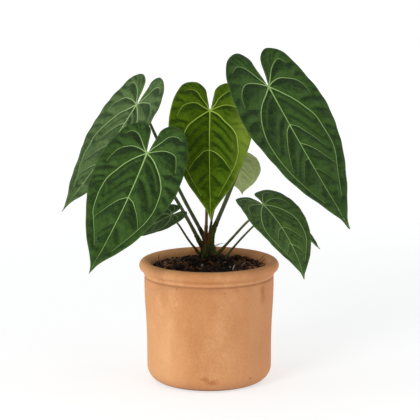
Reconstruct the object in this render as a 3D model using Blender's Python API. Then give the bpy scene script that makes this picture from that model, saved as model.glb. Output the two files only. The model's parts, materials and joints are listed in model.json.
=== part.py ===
# A potted anthurium: a plain terracotta pot full of bark soil, a short crown with sheathed stubs,
# and eight heart-shaped leaf blades on long stalks.
# Metres, +Z up. The origin is the middle of the pot's underside, and the viewer stands towards -Y.
import random
from math import cos, exp, pi, radians, sin, sqrt

import bpy
from mathutils import Vector

MM = 0.001
FIT_GAP = 0.3 * MM  # kept between pieces that touch

# Pot, as radii and heights
POT_SIDES = 40
POT_WALL_RADIUS = 66.8 * MM
POT_SHOULDER_RADIUS = 69.5 * MM
FOOT_ROUND = 17.0 * MM
RIM_BEAD = 5.9 * MM
RIM_CIRCLE = 69.1 * MM
RIM_HEIGHT = 126.0 * MM
COLLAR_GROOVE_HEIGHT = 115.0 * MM
COLLAR_GROOVE_DEPTH = 0.6 * MM
FLOOR_THICKNESS = 7.0 * MM
FLOOR_ROUND = 12.0 * MM
DRAIN_RADIUS = 5.0 * MM
DRAIN_CIRCLE = 24.0 * MM
DRAIN_COUNT = 3
DRAIN_SIDES = 12
DRAIN_TURN = radians(94)  # so that no drill corner meets an edge of the pot's mesh

# Soil
SOIL_EDGE_HEIGHT = 122.5 * MM
SOIL_MOUND_HEIGHT = 131.5 * MM
SOIL_MOUND_SPREAD = 26.0 * MM
SOIL_RELIEF = 1.1 * MM
SOIL_RINGS = 9
CHIP_COUNT = 30
CHIP_SEED = 11
HIGH_CHIP_SPOT = Vector((0.033, 0.042))
HIGH_CHIP_SIZE = Vector((5.5, 4.5, 5.0)) * MM

# Crown: the short stem that the stalks grow from
CROWN_AXIS = Vector((-0.001, 0.015, 0.0))
CROWN_RADIUS = 8.0 * MM
CROWN_FOOT_HEIGHT = 112.0 * MM
CROWN_TOP_HEIGHT = 152.0 * MM
CROWN_SIDES = 16
STUB_FLARE = 1.35  # a stub's width over its stalk's, where it leaves the crown

# Leaf blades
BLADE_THICKNESS = 1.0 * MM
QUILT_HEIGHT = 0.008  # rise of the panels between ribs, over the blade's length
MIDRIB_GROOVE = 0.006
EDGE_WAVE = 0.007
SEAT_GAP = 0.5 * MM  # from the stalk's flat end to the blade's underside
STALK_SIDES = 8
STALK_STEPS = 4  # tube rings between two route points
NECK = 0.075  # how far below the notch the stalk bends square to the blade, over the blade's length

# One side of the heart, for a blade of length 1, from the notch round the lobe to the tip: place along
# the midrib, distance from it, and how far down the midrib the rib that ends there begins.
HEART_EDGE = (
    (0.0, 0.0, 0.0),
    (-0.09, 0.026, 0.010),
    (-0.197, 0.040, 0.022),
    (-0.25, 0.11, 0.036),
    (-0.21, 0.21, 0.052),
    (-0.09, 0.28, 0.080),
    (0.10, 0.325, 0.145),
    (0.30, 0.328, 0.27),
    (0.52, 0.264, 0.44),
    (0.72, 0.17, 0.65),
    (0.88, 0.058, 0.84),
    (0.936, 0.022, 0.92),
    (1.0, 0.0, 1.0),
)
LOBE_REACH = 0.25

# Each leaf, in mm and degrees. The seat is where the stalk meets the notch. Heading turns the midrib
# from the viewer towards +X, drop is its fall below level, and roll turns the blade about it. Droop and
# lobe_bend curve the midrib and the lobes downwards, sweep curves the tip sideways, and fold lifts both
# halves. The stalk's radii are at its foot and its top. Root, start and route lead it up from the crown.
# Detail is how many ribs and rings one half of the blade has.
LEAVES = {
    "left_back": dict(
        length=141, seat=(-78, 30, 295), heading=-56, drop=53, roll=-4,
        droop=-2, lobe_bend=-6, sweep=11, fold=4,
        width=1.0, stalk=(2.1, 1.5), root=(-2, 18, 142), start=(-6.5, 19, 155),
        route=((-32.4, 20, 204.7), (-56.9, 28, 260.2)), detail=(24, 5),
    ),
    "left_front": dict(
        length=147.5, seat=(-64, -61, 256), heading=-27, drop=48, roll=-8,
        droop=3, lobe_bend=4, sweep=11, fold=1.5,
        width=1.0, stalk=(2.1, 1.5), root=(-3, 14, 139), start=(-10.5, 10, 150),
        route=((-22, -1, 174), (-35.5, -16, 201)), detail=(24, 5),
    ),
    "centre": dict(
        length=134.5, seat=(1, 6, 292), heading=-2, drop=49, roll=-5,
        droop=1.5, lobe_bend=11, sweep=-3.5, fold=16,
        width=1.02, stalk=(1.7, 1.3), root=(-2, 14, 145), start=(-3.2, 13.5, 158),
        route=((-2.5, 14, 184.3), (-0.5, 22, 235)), detail=(24, 5),
    ),
    "right": dict(
        length=174, seat=(62, -35, 322), heading=44, drop=51, roll=6.5,
        droop=4.5, lobe_bend=-4, sweep=-8, fold=3,
        width=1.01, stalk=(2.4, 1.7), root=(1, 13, 144), start=(5.2, 11, 163),
        route=((18.7, 6, 196.2), (29.7, 0.5, 225.4), (42.8, -7, 265.8)), detail=(24, 5),
    ),
    "right_low": dict(
        length=98, seat=(56.5, -55, 201), heading=42.5, drop=30, roll=9,
        droop=27, lobe_bend=32, sweep=13.5, fold=5.5,
        width=1.0, stalk=(1.5, 1.15), root=(-1, 13, 133), start=(11.8, -0.3, 140.7),
        route=((25, -16, 158.5), (39.9, -34, 178.6)), detail=(24, 5),
    ),
    "right_hidden": dict(
        length=73, seat=(58, -10, 182.5), heading=69, drop=16, roll=-8,
        droop=21, lobe_bend=8, sweep=4, fold=18,
        width=1.0, stalk=(1.25, 1.0), root=None, start=(12, 14.7, 120),
        route=((23.1, 10, 138.7), (46.4, 0, 166.9)), detail=(16, 3),
    ),
    "left_low": dict(
        length=57.5, seat=(-39.5, -28, 185.5), heading=-62, drop=22, roll=-19,
        droop=2, lobe_bend=10, sweep=5, fold=6,
        width=1.0, stalk=(1.25, 1.0), root=(-1, 15, 131.5), start=(-11.5, 10.5, 137.5),
        route=((-21, 5, 150.5), (-32.7, -6, 171)), detail=(12, 3),
    ),
    "back": dict(
        length=77, seat=(28, 35, 239), heading=171, drop=38, roll=9,
        droop=9.5, lobe_bend=18, sweep=2, fold=0,
        width=1.05, stalk=(1.15, 0.95), root=(0, 17, 144), start=(1.2, 20, 160),
        route=((3.1, 22, 172.6), (10, 25, 198)), detail=(16, 3),
    ),
}

COLOURS = {
    "terracotta": ((0.58, 0.30, 0.16), 0.85),
    "soil": ((0.035, 0.022, 0.016), 0.95),
    "crown": ((0.09, 0.07, 0.03), 0.7),
    "stalk": ((0.07, 0.09, 0.03), 0.5),
    "leaf": ((0.04, 0.12, 0.04), 0.5),
    "young_leaf": ((0.09, 0.17, 0.01), 0.45),
}


def clear_scene():
    for old in list(bpy.data.objects):
        bpy.data.objects.remove(old, do_unlink=True)


def material(name):
    found = bpy.data.materials.get(name)
    if found:
        return found
    made = bpy.data.materials.new(name)
    made.use_nodes = True
    shader = made.node_tree.nodes["Principled BSDF"]
    colour, roughness = COLOURS[name]
    shader.inputs["Base Color"].default_value = (*colour, 1)
    shader.inputs["Roughness"].default_value = roughness
    shader.inputs["Metallic"].default_value = 0
    return made


def mesh_object(name, points, faces, finish, smooth=True):
    mesh = bpy.data.meshes.new(name)
    mesh.from_pydata([tuple(p) for p in points], [], faces)
    mesh.validate()
    if smooth:
        mesh.shade_smooth()
        mesh.set_sharp_from_angle(angle=radians(40))
    obj = bpy.data.objects.new(name, mesh)
    bpy.context.scene.collection.objects.link(obj)
    obj.data.materials.append(material(finish))
    return obj


def keep_result(obj):
    """Makes the modifiers' result the object's own mesh."""
    graph = bpy.context.evaluated_depsgraph_get()
    result = bpy.data.meshes.new_from_object(obj.evaluated_get(graph))
    obj.modifiers.clear()
    obj.data = result


def as_cutter(obj):
    obj.hide_render = True
    obj.display_type = "WIRE"
    return obj


def subtract(obj, cutter):
    cut = obj.modifiers.new("cut_" + cutter.name, "BOOLEAN")
    cut.operation = "DIFFERENCE"
    cut.object = as_cutter(cutter)


def arc(centre_r, centre_z, radius, first, last, steps):
    """Points on a circle in the profile's plane, angles in degrees, 0 outwards and 90 up."""
    turns = [radians(first + (last - first) * i / steps) for i in range(steps + 1)]
    return [(centre_r + radius * cos(a), centre_z + radius * sin(a)) for a in turns]


def smooth_path(points, steps):
    """A curve through all the points, with this many spans between two of them."""
    ends = [2 * points[0] - points[1], *points, 2 * points[-1] - points[-2]]
    path = []
    for a, b, c, d in zip(ends, ends[1:], ends[2:], ends[3:]):
        before, here, after = (sqrt((q - p).length) for p, q in ((a, b), (b, c), (c, d)))
        leave = here * ((b - a) / before - (c - a) / (before + here)) + (c - b)
        reach = here * ((d - c) / after - (d - b) / (here + after)) + (c - b)
        for i in range(steps):
            t = i / steps
            near, far = 2 * t**3 - 3 * t**2 + 1, 3 * t**2 - 2 * t**3
            bend = (t**3 - 2 * t**2 + t) * leave + (t**3 - t**2) * reach
            path.append(near * b + far * c + bend)
    return [*path, points[-1]]


def turned(name, profile, sides, finish):
    """A solid turned about Z from a profile that starts and ends on the axis."""
    points, rings = [], []
    for r, z in profile:
        count = 1 if r == 0 else sides
        rings.append(range(len(points), len(points) + count))
        points += [(r * cos(2 * pi * i / sides), r * sin(2 * pi * i / sides), z) for i in range(count)]
    faces = []
    for low, high in zip(rings, rings[1:]):
        for i in range(sides):
            j = (i + 1) % sides
            if len(low) == 1:
                faces.append((low[0], high[j], high[i]))
            elif len(high) == 1:
                faces.append((low[i], low[j], high[0]))
            else:
                faces.append((low[i], low[j], high[j], high[i]))
    return mesh_object(name, points, faces, finish)


def tube(name, path, radii, sides, finish):
    """A closed round tube along a path, with flat ends square to it."""
    points, faces = [], []
    side = (path[1] - path[0]).orthogonal().normalized()
    for i, (centre, radius) in enumerate(zip(path, radii)):
        ahead = path[min(i + 1, len(path) - 1)]
        behind = path[max(i - 1, 0)]
        along = (ahead - behind).normalized()
        side = (side - side.dot(along) * along).normalized()
        across = along.cross(side)
        for k in range(sides):
            turn = 2 * pi * k / sides
            points.append(centre + radius * (cos(turn) * side + sin(turn) * across))
    for ring in range(len(path) - 1):
        for k in range(sides):
            a, b = ring * sides + k, ring * sides + (k + 1) % sides
            faces.append((a, b, b + sides, a + sides))
    faces.append(tuple(range(sides - 1, -1, -1)))
    last = (len(path) - 1) * sides
    faces.append(tuple(range(last, last + sides)))
    return mesh_object(name, points, faces, finish)


def pot_inside():
    """The inner wall from the rim down to the floor's middle."""
    lip = RIM_CIRCLE - RIM_BEAD
    floor_corner = 57.0 * MM - FLOOR_ROUND
    wall = [(lip, 120 * MM), (lip - 0.6 * MM, 100 * MM), (60.6 * MM, 70 * MM), (58.2 * MM, 40 * MM)]
    corner = arc(floor_corner, FLOOR_THICKNESS + FLOOR_ROUND, FLOOR_ROUND, 0, -90, 4)
    return [*wall, *corner, (0, FLOOR_THICKNESS)]


def pot():
    foot_corner = POT_WALL_RADIUS - FOOT_ROUND
    outside = [
        (0, 0),
        *arc(foot_corner, FOOT_ROUND, FOOT_ROUND, -90, 0, 5),
        (POT_WALL_RADIUS + 0.1 * MM, 44 * MM),
        (POT_WALL_RADIUS + 0.6 * MM, 62 * MM),
        (POT_SHOULDER_RADIUS - 1.3 * MM, 76 * MM),
        (POT_SHOULDER_RADIUS - 0.4 * MM, 90 * MM),
        (POT_SHOULDER_RADIUS, 104 * MM),
        (POT_SHOULDER_RADIUS, COLLAR_GROOVE_HEIGHT - 0.8 * MM),
        (POT_SHOULDER_RADIUS - COLLAR_GROOVE_DEPTH, COLLAR_GROOVE_HEIGHT),
        (POT_SHOULDER_RADIUS + 0.1 * MM, COLLAR_GROOVE_HEIGHT + 0.8 * MM),
    ]
    bead = arc(RIM_CIRCLE, RIM_HEIGHT, RIM_BEAD, -82, 180, 10)
    body = turned("pot", outside + bead + pot_inside(), POT_SIDES, "terracotta")
    for i in range(DRAIN_COUNT):
        turn = DRAIN_TURN + 2 * pi * i / DRAIN_COUNT
        low, high = -5 * MM, FLOOR_THICKNESS + 5 * MM
        bit = [(0, low), (DRAIN_RADIUS, low), (DRAIN_RADIUS, high), (0, high)]
        drill = turned(f"drain_drill_{i + 1}", bit, DRAIN_SIDES, "terracotta")
        drill.location = (DRAIN_CIRCLE * cos(turn), DRAIN_CIRCLE * sin(turn), 0)
        subtract(body, drill)
    return body


def soil_height(x, y):
    apart = (Vector((x, y, 0)) - CROWN_AXIS).length
    mound = (SOIL_MOUND_HEIGHT - SOIL_EDGE_HEIGHT) * exp(-((apart / SOIL_MOUND_SPREAD) ** 2))
    lumps = sin(310 * x + 1.3) * sin(270 * y + 0.4) + 0.6 * sin(520 * x - 430 * y)
    return SOIL_EDGE_HEIGHT + mound + SOIL_RELIEF * lumps * min(apart / SOIL_MOUND_SPREAD, 1.0)


def bark_chip(name, place, size, chance):
    """A rough chip: a box with its corners pulled about, tilted and half sunk."""
    turn = chance.uniform(0, 2 * pi)
    tilt = chance.uniform(-0.45, 0.45)
    corners = []
    for sx, sy, sz in [(a, b, c) for c in (-1, 1) for a, b in ((-1, -1), (1, -1), (1, 1), (-1, 1))]:
        x, y, z = (s * half * chance.uniform(0.7, 1.0) for s, half in zip((sx, sy, sz), size))
        x, z = x * cos(tilt) - z * sin(tilt), x * sin(tilt) + z * cos(tilt)
        corners.append(place + Vector((x * cos(turn) - y * sin(turn), x * sin(turn) + y * cos(turn), z)))
    faces = [(3, 2, 1, 0), (4, 5, 6, 7), (0, 1, 5, 4), (1, 2, 6, 5), (2, 3, 7, 6), (3, 0, 4, 7)]
    return mesh_object(name, corners, faces, "soil", smooth=False)


def soil():
    inside = [(r - FIT_GAP, z + FIT_GAP) for r, z in pot_inside() if r > 0]
    top_radius = inside[0][0]
    below = [(0, FLOOR_THICKNESS + FIT_GAP), *reversed(inside)]
    rings = [top_radius * (SOIL_RINGS - k) / SOIL_RINGS for k in range(SOIL_RINGS + 1)]
    above = [(radius, SOIL_EDGE_HEIGHT) for radius in rings]
    body = turned("soil", below + above, POT_SIDES, "soil")
    for vertex in body.data.vertices:
        if vertex.co.z > SOIL_EDGE_HEIGHT - 0.5 * MM:
            vertex.co.z = soil_height(vertex.co.x, vertex.co.y)

    chance = random.Random(CHIP_SEED)
    chips = bpy.data.collections.new("soil_chips")
    bpy.context.scene.collection.children.link(chips)
    plan = [(HIGH_CHIP_SPOT, HIGH_CHIP_SIZE, 3.5 * MM)]
    stalk_hole = Vector(LEAVES["right_hidden"]["route"][0][:2]) * MM
    while len(plan) < CHIP_COUNT:
        reach, turn = chance.uniform(14, 53) * MM, chance.uniform(0, 2 * pi)
        spot = Vector((reach * cos(turn), reach * sin(turn)))
        size = Vector((chance.uniform(3.5, 6), chance.uniform(2.5, 4), chance.uniform(1.6, 2.8))) * MM
        if (spot - CROWN_AXIS.xy).length > 16 * MM and (spot - stalk_hole).length > 11 * MM:
            plan.append((spot, size, chance.uniform(0, 0.8) * MM))
    for number, (spot, size, rise) in enumerate(plan):
        place = Vector((spot.x, spot.y, soil_height(spot.x, spot.y) + rise))
        chip = bark_chip(f"chip_{number + 1}", place, size, chance)
        bpy.context.scene.collection.objects.unlink(chip)
        chips.objects.link(chip)
    join = body.modifiers.new("join_chips", "BOOLEAN")
    join.operation = "UNION"
    join.operand_type = "COLLECTION"
    join.collection = chips
    keep_result(body)
    for chip in list(chips.objects):
        bpy.data.objects.remove(chip, do_unlink=True)
    bpy.data.collections.remove(chips)

    low, high = CROWN_FOOT_HEIGHT - FIT_GAP, CROWN_TOP_HEIGHT + 20 * MM
    wide = CROWN_RADIUS + FIT_GAP
    hole = turned("crown_hole", [(0, low), (wide, low), (wide, high), (0, high)], CROWN_SIDES, "soil")
    hole.location = CROWN_AXIS
    subtract(body, hole)
    leaf = LEAVES["right_hidden"]
    path = [Vector(p) * MM for p in (leaf["start"], *leaf["route"][:1])]
    along = (path[1] - path[0]).normalized()
    clear = leaf["stalk"][0] * MM + FIT_GAP
    ends = [path[0] - FIT_GAP * along, path[1] + 8 * MM * along]
    subtract(body, tube("stalk_hole", ends, [clear, clear], STALK_SIDES, "soil"))
    return body


def crown():
    """The stem with a flared stub for each stalk that grows from it, joined into one solid."""
    top = CROWN_TOP_HEIGHT
    profile = [
        (0, CROWN_FOOT_HEIGHT),
        (CROWN_RADIUS, CROWN_FOOT_HEIGHT),
        (CROWN_RADIUS, 136.5 * MM),
        (CROWN_RADIUS * 0.93, 143 * MM),
        (CROWN_RADIUS * 0.72, top - 3 * MM),
        (CROWN_RADIUS * 0.4, top - 0.8 * MM),
        (0, top),
    ]
    core = turned("crown", profile, CROWN_SIDES, "crown")
    core.location = CROWN_AXIS
    bpy.context.view_layer.update()
    stubs = bpy.data.collections.new("crown_stubs")
    bpy.context.scene.collection.children.link(stubs)
    for name, leaf in LEAVES.items():
        if leaf["root"] is None:
            continue
        start, root = Vector(leaf["start"]) * MM, Vector(leaf["root"]) * MM
        along = stalk_heading(leaf)
        thick = leaf["stalk"][0] * MM
        path = smooth_path([root, start - 5 * MM * along, start - FIT_GAP * along], 2)
        flares = [STUB_FLARE + (1.12 - STUB_FLARE) * i / (len(path) - 1) for i in range(len(path))]
        radii = [thick * flare for flare in flares]
        stub = tube("stub_" + name, path, radii, STALK_SIDES, "crown")
        bpy.context.scene.collection.objects.unlink(stub)
        stubs.objects.link(stub)
    join = core.modifiers.new("join_stubs", "BOOLEAN")
    join.operation = "UNION"
    join.operand_type = "COLLECTION"
    join.collection = stubs
    keep_result(core)
    for stub in list(stubs.objects):
        bpy.data.objects.remove(stub, do_unlink=True)
    bpy.data.collections.remove(stubs)
    return core


def stalk_heading(leaf):
    """The direction in which the stalk leaves its root."""
    return (Vector(leaf["route"][0]) - Vector(leaf["start"])).normalized()


def blade_axes(leaf):
    """Along the midrib, out of the upper face, and across to the blade's left as the viewer sees it."""
    heading, drop, roll = radians(leaf["heading"]), radians(leaf["drop"]), radians(leaf["roll"])
    level = Vector((sin(heading), -cos(heading), 0))
    along = cos(drop) * level - sin(drop) * Vector((0, 0, 1))
    upper = sin(drop) * level + cos(drop) * Vector((0, 0, 1))
    across = along.cross(upper)
    return along, cos(roll) * upper + sin(roll) * across, cos(roll) * across - sin(roll) * upper


class BladeShape:
    """Bends the flat heart into its place: at(u, v, lift) gives a point for a place in blade lengths."""

    STEP = 0.02

    def __init__(self, leaf):
        self.leaf = leaf
        self.length = leaf["length"] * MM
        self.seat = Vector(leaf["seat"]) * MM
        self.ahead = self.midrib(1)
        self.behind = self.midrib(-1)

    def frame(self, u):
        along, upper, across = blade_axes(self.leaf)
        droop = radians(self.leaf["droop"] * u if u > 0 else self.leaf["lobe_bend"] * u / LOBE_REACH)
        sweep = radians(self.leaf["sweep"] * max(u, 0))
        bent = cos(droop) * along - sin(droop) * upper
        upper = cos(droop) * upper + sin(droop) * along
        return cos(sweep) * bent + sin(sweep) * across, upper, cos(sweep) * across - sin(sweep) * bent

    def midrib(self, way):
        points = [Vector((0, 0, 0))]
        for i in range(60):
            middle = way * (i + 0.5) * self.STEP
            points.append(points[-1] + way * self.STEP * self.frame(middle)[0])
        return points

    def at(self, u, v, lift=0.0):
        along_way = abs(u) / self.STEP
        step = int(along_way)
        points = self.ahead if u >= 0 else self.behind
        spot = points[step].lerp(points[step + 1], along_way - step)
        _, upper, across = self.frame(u)
        fold = radians(self.leaf["fold"])
        v = v * self.leaf["width"]
        spot = spot + v * cos(fold) * across + (abs(v) * sin(fold) + lift) * upper
        return self.seat + self.length * spot


def blade_relief(ring, rib, along, foot):
    """Rise over the flat: a groove at the midrib, panels between the ribs and a waved edge."""
    inland = sin(pi * min(ring * 1.05, 1.0))
    panel = 0.0 if rib % 2 == 0 else 1.0
    groove = -MIDRIB_GROOVE * (1 - ring) ** 3 * min(foot / 0.08, 1.0) * (1 - foot)
    wave = EDGE_WAVE * ring**3 * sin(along * 15.0)
    return groove + QUILT_HEIGHT * inland * (0.55 + 0.75 * panel) + wave


def blade(name, leaf):
    ribs, rings = leaf["detail"]
    shape = BladeShape(leaf)
    edge = smooth_path([Vector(p) for p in HEART_EDGE], 12)
    spans = len(edge) - 1
    rows = [edge[round(i * spans / ribs)] for i in range(ribs + 1)]
    points, grid = [], {}
    for side in (1, -1):
        for rib, (u, v, foot) in enumerate(rows):
            for ring in range(rings + 1):
                part = ring / rings
                if rib in (0, ribs):
                    key = (rib, 0, 0)
                elif ring == 0:
                    key = (rib, 0, 0)
                else:
                    key = (rib, ring, side)
                if key not in grid:
                    grid[key] = len(points)
                    place_u, place_v = foot + (u - foot) * part, side * v * part
                    lift = 0.0 if rib in (0, ribs) else blade_relief(part, rib, rib / ribs, foot)
                    points.append(shape.at(place_u, place_v, lift))
                grid[(rib, ring, side, "any")] = grid[key]
    faces = []
    for side in (1, -1):
        for rib in range(ribs):
            for ring in range(rings):
                a, b, c, d = (
                    grid[(rib + i, ring + j, side, "any")] for i, j in ((0, 0), (1, 0), (1, 1), (0, 1))
                )
                for face in ((a, b, c), (a, c, d)):
                    if len(set(face)) == 3:
                        faces.append(face if side == 1 else face[::-1])
    finish = "young_leaf" if name == "centre" else "leaf"
    obj = mesh_object("blade_" + name, points, faces, finish)
    wall = obj.modifiers.new("thickness", "SOLIDIFY")
    wall.thickness = BLADE_THICKNESS
    wall.offset = 0
    return obj


def stalk(name, leaf):
    """The leaf stalk, from its stub to just under the blade's notch, which it meets square on."""
    seat = Vector(leaf["seat"]) * MM
    upper = blade_axes(leaf)[1]
    start = Vector(leaf["start"]) * MM
    top = seat - (BLADE_THICKNESS / 2 + SEAT_GAP) * upper
    neck = seat - leaf["length"] * NECK * MM * upper
    bend = [start, *(Vector(p) * MM for p in leaf["route"]), neck, top]
    path = smooth_path(bend, STALK_STEPS)
    wide, narrow = (r * MM for r in leaf["stalk"])
    radii = [wide + (narrow - wide) * i / (len(path) - 1) for i in range(len(path))]
    return tube("stalk_" + name, path, radii, STALK_SIDES, "stalk")


def plant_in_pot():
    clear_scene()
    holder = bpy.data.objects.new("potted_anthurium", None)
    bpy.context.scene.collection.objects.link(holder)
    pieces = [pot(), soil(), crown()]
    for name, leaf in LEAVES.items():
        pieces.append(stalk(name, leaf))
        pieces.append(blade(name, leaf))
    for piece in pieces:
        piece.parent = holder


plant_in_pot()
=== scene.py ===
import json
import random
from math import cos, pi, radians, sin

import bpy
import numpy as np
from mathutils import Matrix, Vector, noise

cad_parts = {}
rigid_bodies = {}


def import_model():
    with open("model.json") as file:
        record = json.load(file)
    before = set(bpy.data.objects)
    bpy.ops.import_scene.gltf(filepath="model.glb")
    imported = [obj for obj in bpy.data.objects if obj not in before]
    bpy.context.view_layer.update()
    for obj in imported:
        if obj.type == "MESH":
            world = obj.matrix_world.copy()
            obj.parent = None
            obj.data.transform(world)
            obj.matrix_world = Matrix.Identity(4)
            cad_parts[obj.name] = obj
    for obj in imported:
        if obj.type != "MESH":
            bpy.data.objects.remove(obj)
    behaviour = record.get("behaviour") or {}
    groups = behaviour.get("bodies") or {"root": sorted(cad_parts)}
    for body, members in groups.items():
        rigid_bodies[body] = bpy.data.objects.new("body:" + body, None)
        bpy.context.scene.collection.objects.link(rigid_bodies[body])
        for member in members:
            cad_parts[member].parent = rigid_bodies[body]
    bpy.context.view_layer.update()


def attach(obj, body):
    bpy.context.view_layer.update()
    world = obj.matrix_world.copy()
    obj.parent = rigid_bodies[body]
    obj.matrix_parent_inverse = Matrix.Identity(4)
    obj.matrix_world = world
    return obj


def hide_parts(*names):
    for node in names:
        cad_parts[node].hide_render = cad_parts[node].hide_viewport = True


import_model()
mm = 0.001


# Small helpers for node trees and meshes

class Wire:
    # one output of a node, the first unless another is picked, that sums can be written with

    def __init__(self, tree, node, output=0):
        self.tree = tree
        self.node = node
        self.output = output

    def __getitem__(self, output):
        return Wire(self.tree, self.node, output)

    def __add__(self, other):
        return math("ADD", self, other)

    def __sub__(self, other):
        return math("SUBTRACT", self, other)

    def __rsub__(self, other):
        return put(self.tree, "ShaderNodeMath", {0: other, 1: self}, operation="SUBTRACT")

    def __mul__(self, other):
        return math("MULTIPLY", self, other)

    def leadTo(self, socket):
        self.tree.links.new(self.node.outputs[self.output], socket)


def feed(node, values):
    for name, value in values.items():
        if isinstance(value, Wire):
            value.leadTo(node.inputs[name])
        else:
            node.inputs[name].default_value = value


def put(tree, kind, values=None, **settings):
    made = tree.nodes.new(kind)
    for name, value in settings.items():
        setattr(made, name, value)
    feed(made, values or {})
    return Wire(tree, made)


def newFinish(name):
    finish = bpy.data.materials.new(name)
    finish.use_nodes = True
    return finish, finish.node_tree, finish.node_tree.nodes["Principled BSDF"]


def blend(amount, first, second):
    colours = [colour if isinstance(colour, Wire) else (*colour, 1) for colour in (first, second)]
    return put(amount.tree, "ShaderNodeMix", {0: amount, 6: colours[0], 7: colours[1]}, data_type="RGBA")[2]


def remap(value, low, high, to=(0.0, 1.0)):
    return put(value.tree, "ShaderNodeMapRange", {0: value, 1: low, 2: high, 3: to[0], 4: to[1]},
               interpolation_type="SMOOTHSTEP")


def band(value, low, rise, fall, high):
    # 1 from rise to fall, and 0 below low and above high
    return remap(value, low, rise) * remap(value, high, fall)


def math(operation, first, second=0.0):
    return put(first.tree, "ShaderNodeMath", {0: first, 1: second}, operation=operation)


def cloud(where, scale, detail=4.0, roughness=0.55, distortion=0.0):
    return put(where.tree, "ShaderNodeTexNoise", {
        "Vector": where, "Scale": scale, "Detail": detail, "Roughness": roughness, "Distortion": distortion})


def stretched(where, scale):
    return put(where.tree, "ShaderNodeMapping", {"Vector": where, "Scale": scale})


def objectPlace(tree):
    return put(tree, "ShaderNodeTexCoord")["Object"]


def splitUp(where):
    return put(where.tree, "ShaderNodeSeparateXYZ", {0: where})


def joined(tree, x, y, z):
    return put(tree, "ShaderNodeCombineXYZ", {0: x, 1: y, 2: z})


def awayFrom(where, centre):
    return put(where.tree, "ShaderNodeVectorMath", {0: where, 1: centre}, operation="DISTANCE")["Value"]


def valueNamed(tree, name):
    return put(tree, "ShaderNodeAttribute", attribute_name=name)["Fac"]


def curvesOf(given):
    return put(given.tree, "GeometryNodeMeshToCurve", {"Mesh": given["Geometry"]})


def fieldNamed(tree, name, kind="FLOAT"):
    return put(tree, "GeometryNodeInputNamedAttribute", {"Name": name}, data_type=kind)


def bumped(height, distance, strength=1.0):
    return put(height.tree, "ShaderNodeBump", {"Strength": strength, "Distance": distance, "Height": height})


def wear(shader, colour, rough, gloss, normal):
    feed(shader, {"Base Color": colour, "Roughness": rough, "Specular IOR Level": gloss, "Normal": normal})


def geometryTree(name, sizes):
    tree = bpy.data.node_groups.new(name, "GeometryNodeTree")
    tree.interface.new_socket("Geometry", in_out="INPUT", socket_type="NodeSocketGeometry")
    for label, kind in sizes.items():
        tree.interface.new_socket(label, in_out="INPUT", socket_type="NodeSocket" + kind)
    tree.interface.new_socket("Geometry", in_out="OUTPUT", socket_type="NodeSocketGeometry")
    return tree, Wire(tree, tree.nodes.new("NodeGroupInput")), tree.nodes.new("NodeGroupOutput")


def closeTree(geometry, given, result, smooth=True):
    # every tree ends in plain meshes that wear its finish
    tree = geometry.tree
    made = put(tree, "GeometryNodeRealizeInstances", {"Geometry": geometry})
    if smooth:
        made = put(tree, "GeometryNodeSetShadeSmooth", {"Geometry": made, "Shade Smooth": True})
    made = put(tree, "GeometryNodeSetMaterial", {"Geometry": made, "Material": given["Finish"]})
    made.leadTo(result.inputs[0])
    return tree


def applied(piece, **keep):
    # the piece's mesh with its modifiers in it
    bpy.context.view_layer.update()
    graph = bpy.context.evaluated_depsgraph_get()
    mesh = bpy.data.meshes.new_from_object(piece.evaluated_get(graph), depsgraph=graph, **keep)
    piece.modifiers.clear()
    return mesh


def grow(name, carrier, tree, values):
    modifier = carrier.modifiers.new(tree.name, "NODES")
    modifier.node_group = tree
    for item in tree.interface.items_tree:
        if item.in_out == "INPUT" and item.name in values:
            modifier[item.identifier] = values[item.name]
    mesh = applied(carrier, preserve_all_data_layers=True)
    bpy.data.objects.remove(carrier, do_unlink=True)
    mesh.name = name
    return showMesh(name, mesh)


def showMesh(name, mesh):
    piece = bpy.data.objects.new(name, mesh)
    bpy.context.scene.collection.objects.link(piece)
    return piece


def meshFrom(name, points, faces, smooth=True):
    mesh = bpy.data.meshes.new(name)
    mesh.from_pydata([tuple(map(float, p)) for p in points], [], [tuple(map(int, f)) for f in faces])
    if smooth:
        mesh.shade_smooth()
    return mesh


def linesFrom(name, lines):
    # every line is an array of points, kept as loose edges for Geometry Nodes
    points, edges = [], []
    for line in lines:
        edges += [(len(points) + i, len(points) + i + 1) for i in range(len(line) - 1)]
        points += [tuple(map(float, p)) for p in line]
    mesh = bpy.data.meshes.new(name)
    mesh.from_pydata(points, edges, [])
    return showMesh(name, mesh)


def addValues(mesh, **layers):
    for name, values in layers.items():
        layer = mesh.attributes.new(name, "FLOAT", "POINT")
        layer.data.foreach_set("value", np.asarray(values, dtype=np.float32).ravel())


def readValues(mesh, name):
    values = np.zeros(len(mesh.vertices), dtype=np.float32)
    mesh.attributes[name].data.foreach_get("value", values)
    return values


def addVectors(mesh, name, values):
    layer = mesh.attributes.new(name, "FLOAT_VECTOR", "POINT")
    layer.data.foreach_set("vector", np.asarray(values, dtype=np.float32).ravel())


def settle(piece, node=None, finish=None):
    if finish:
        piece.data.materials.append(finish)
    if node:
        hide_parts(node)
    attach(piece, "root")


def ringFaces(starts, sides, capped=False):
    # faces between rings of points, each ring given by the number of its first point
    faces = []
    for low, high in zip(starts, starts[1:]):
        faces += [(low + k, low + (k + 1) % sides, high + (k + 1) % sides, high + k) for k in range(sides)]
    if capped:
        faces += [tuple(range(sides))[::-1], tuple(range(starts[-1], starts[-1] + sides))]
    return faces


def turns(sides):
    return [2 * pi * k / sides for k in range(sides)]


def unit(way):
    return way / np.linalg.norm(way)


def hump(away, reach):
    return np.exp(-((away / reach) ** 2))


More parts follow.
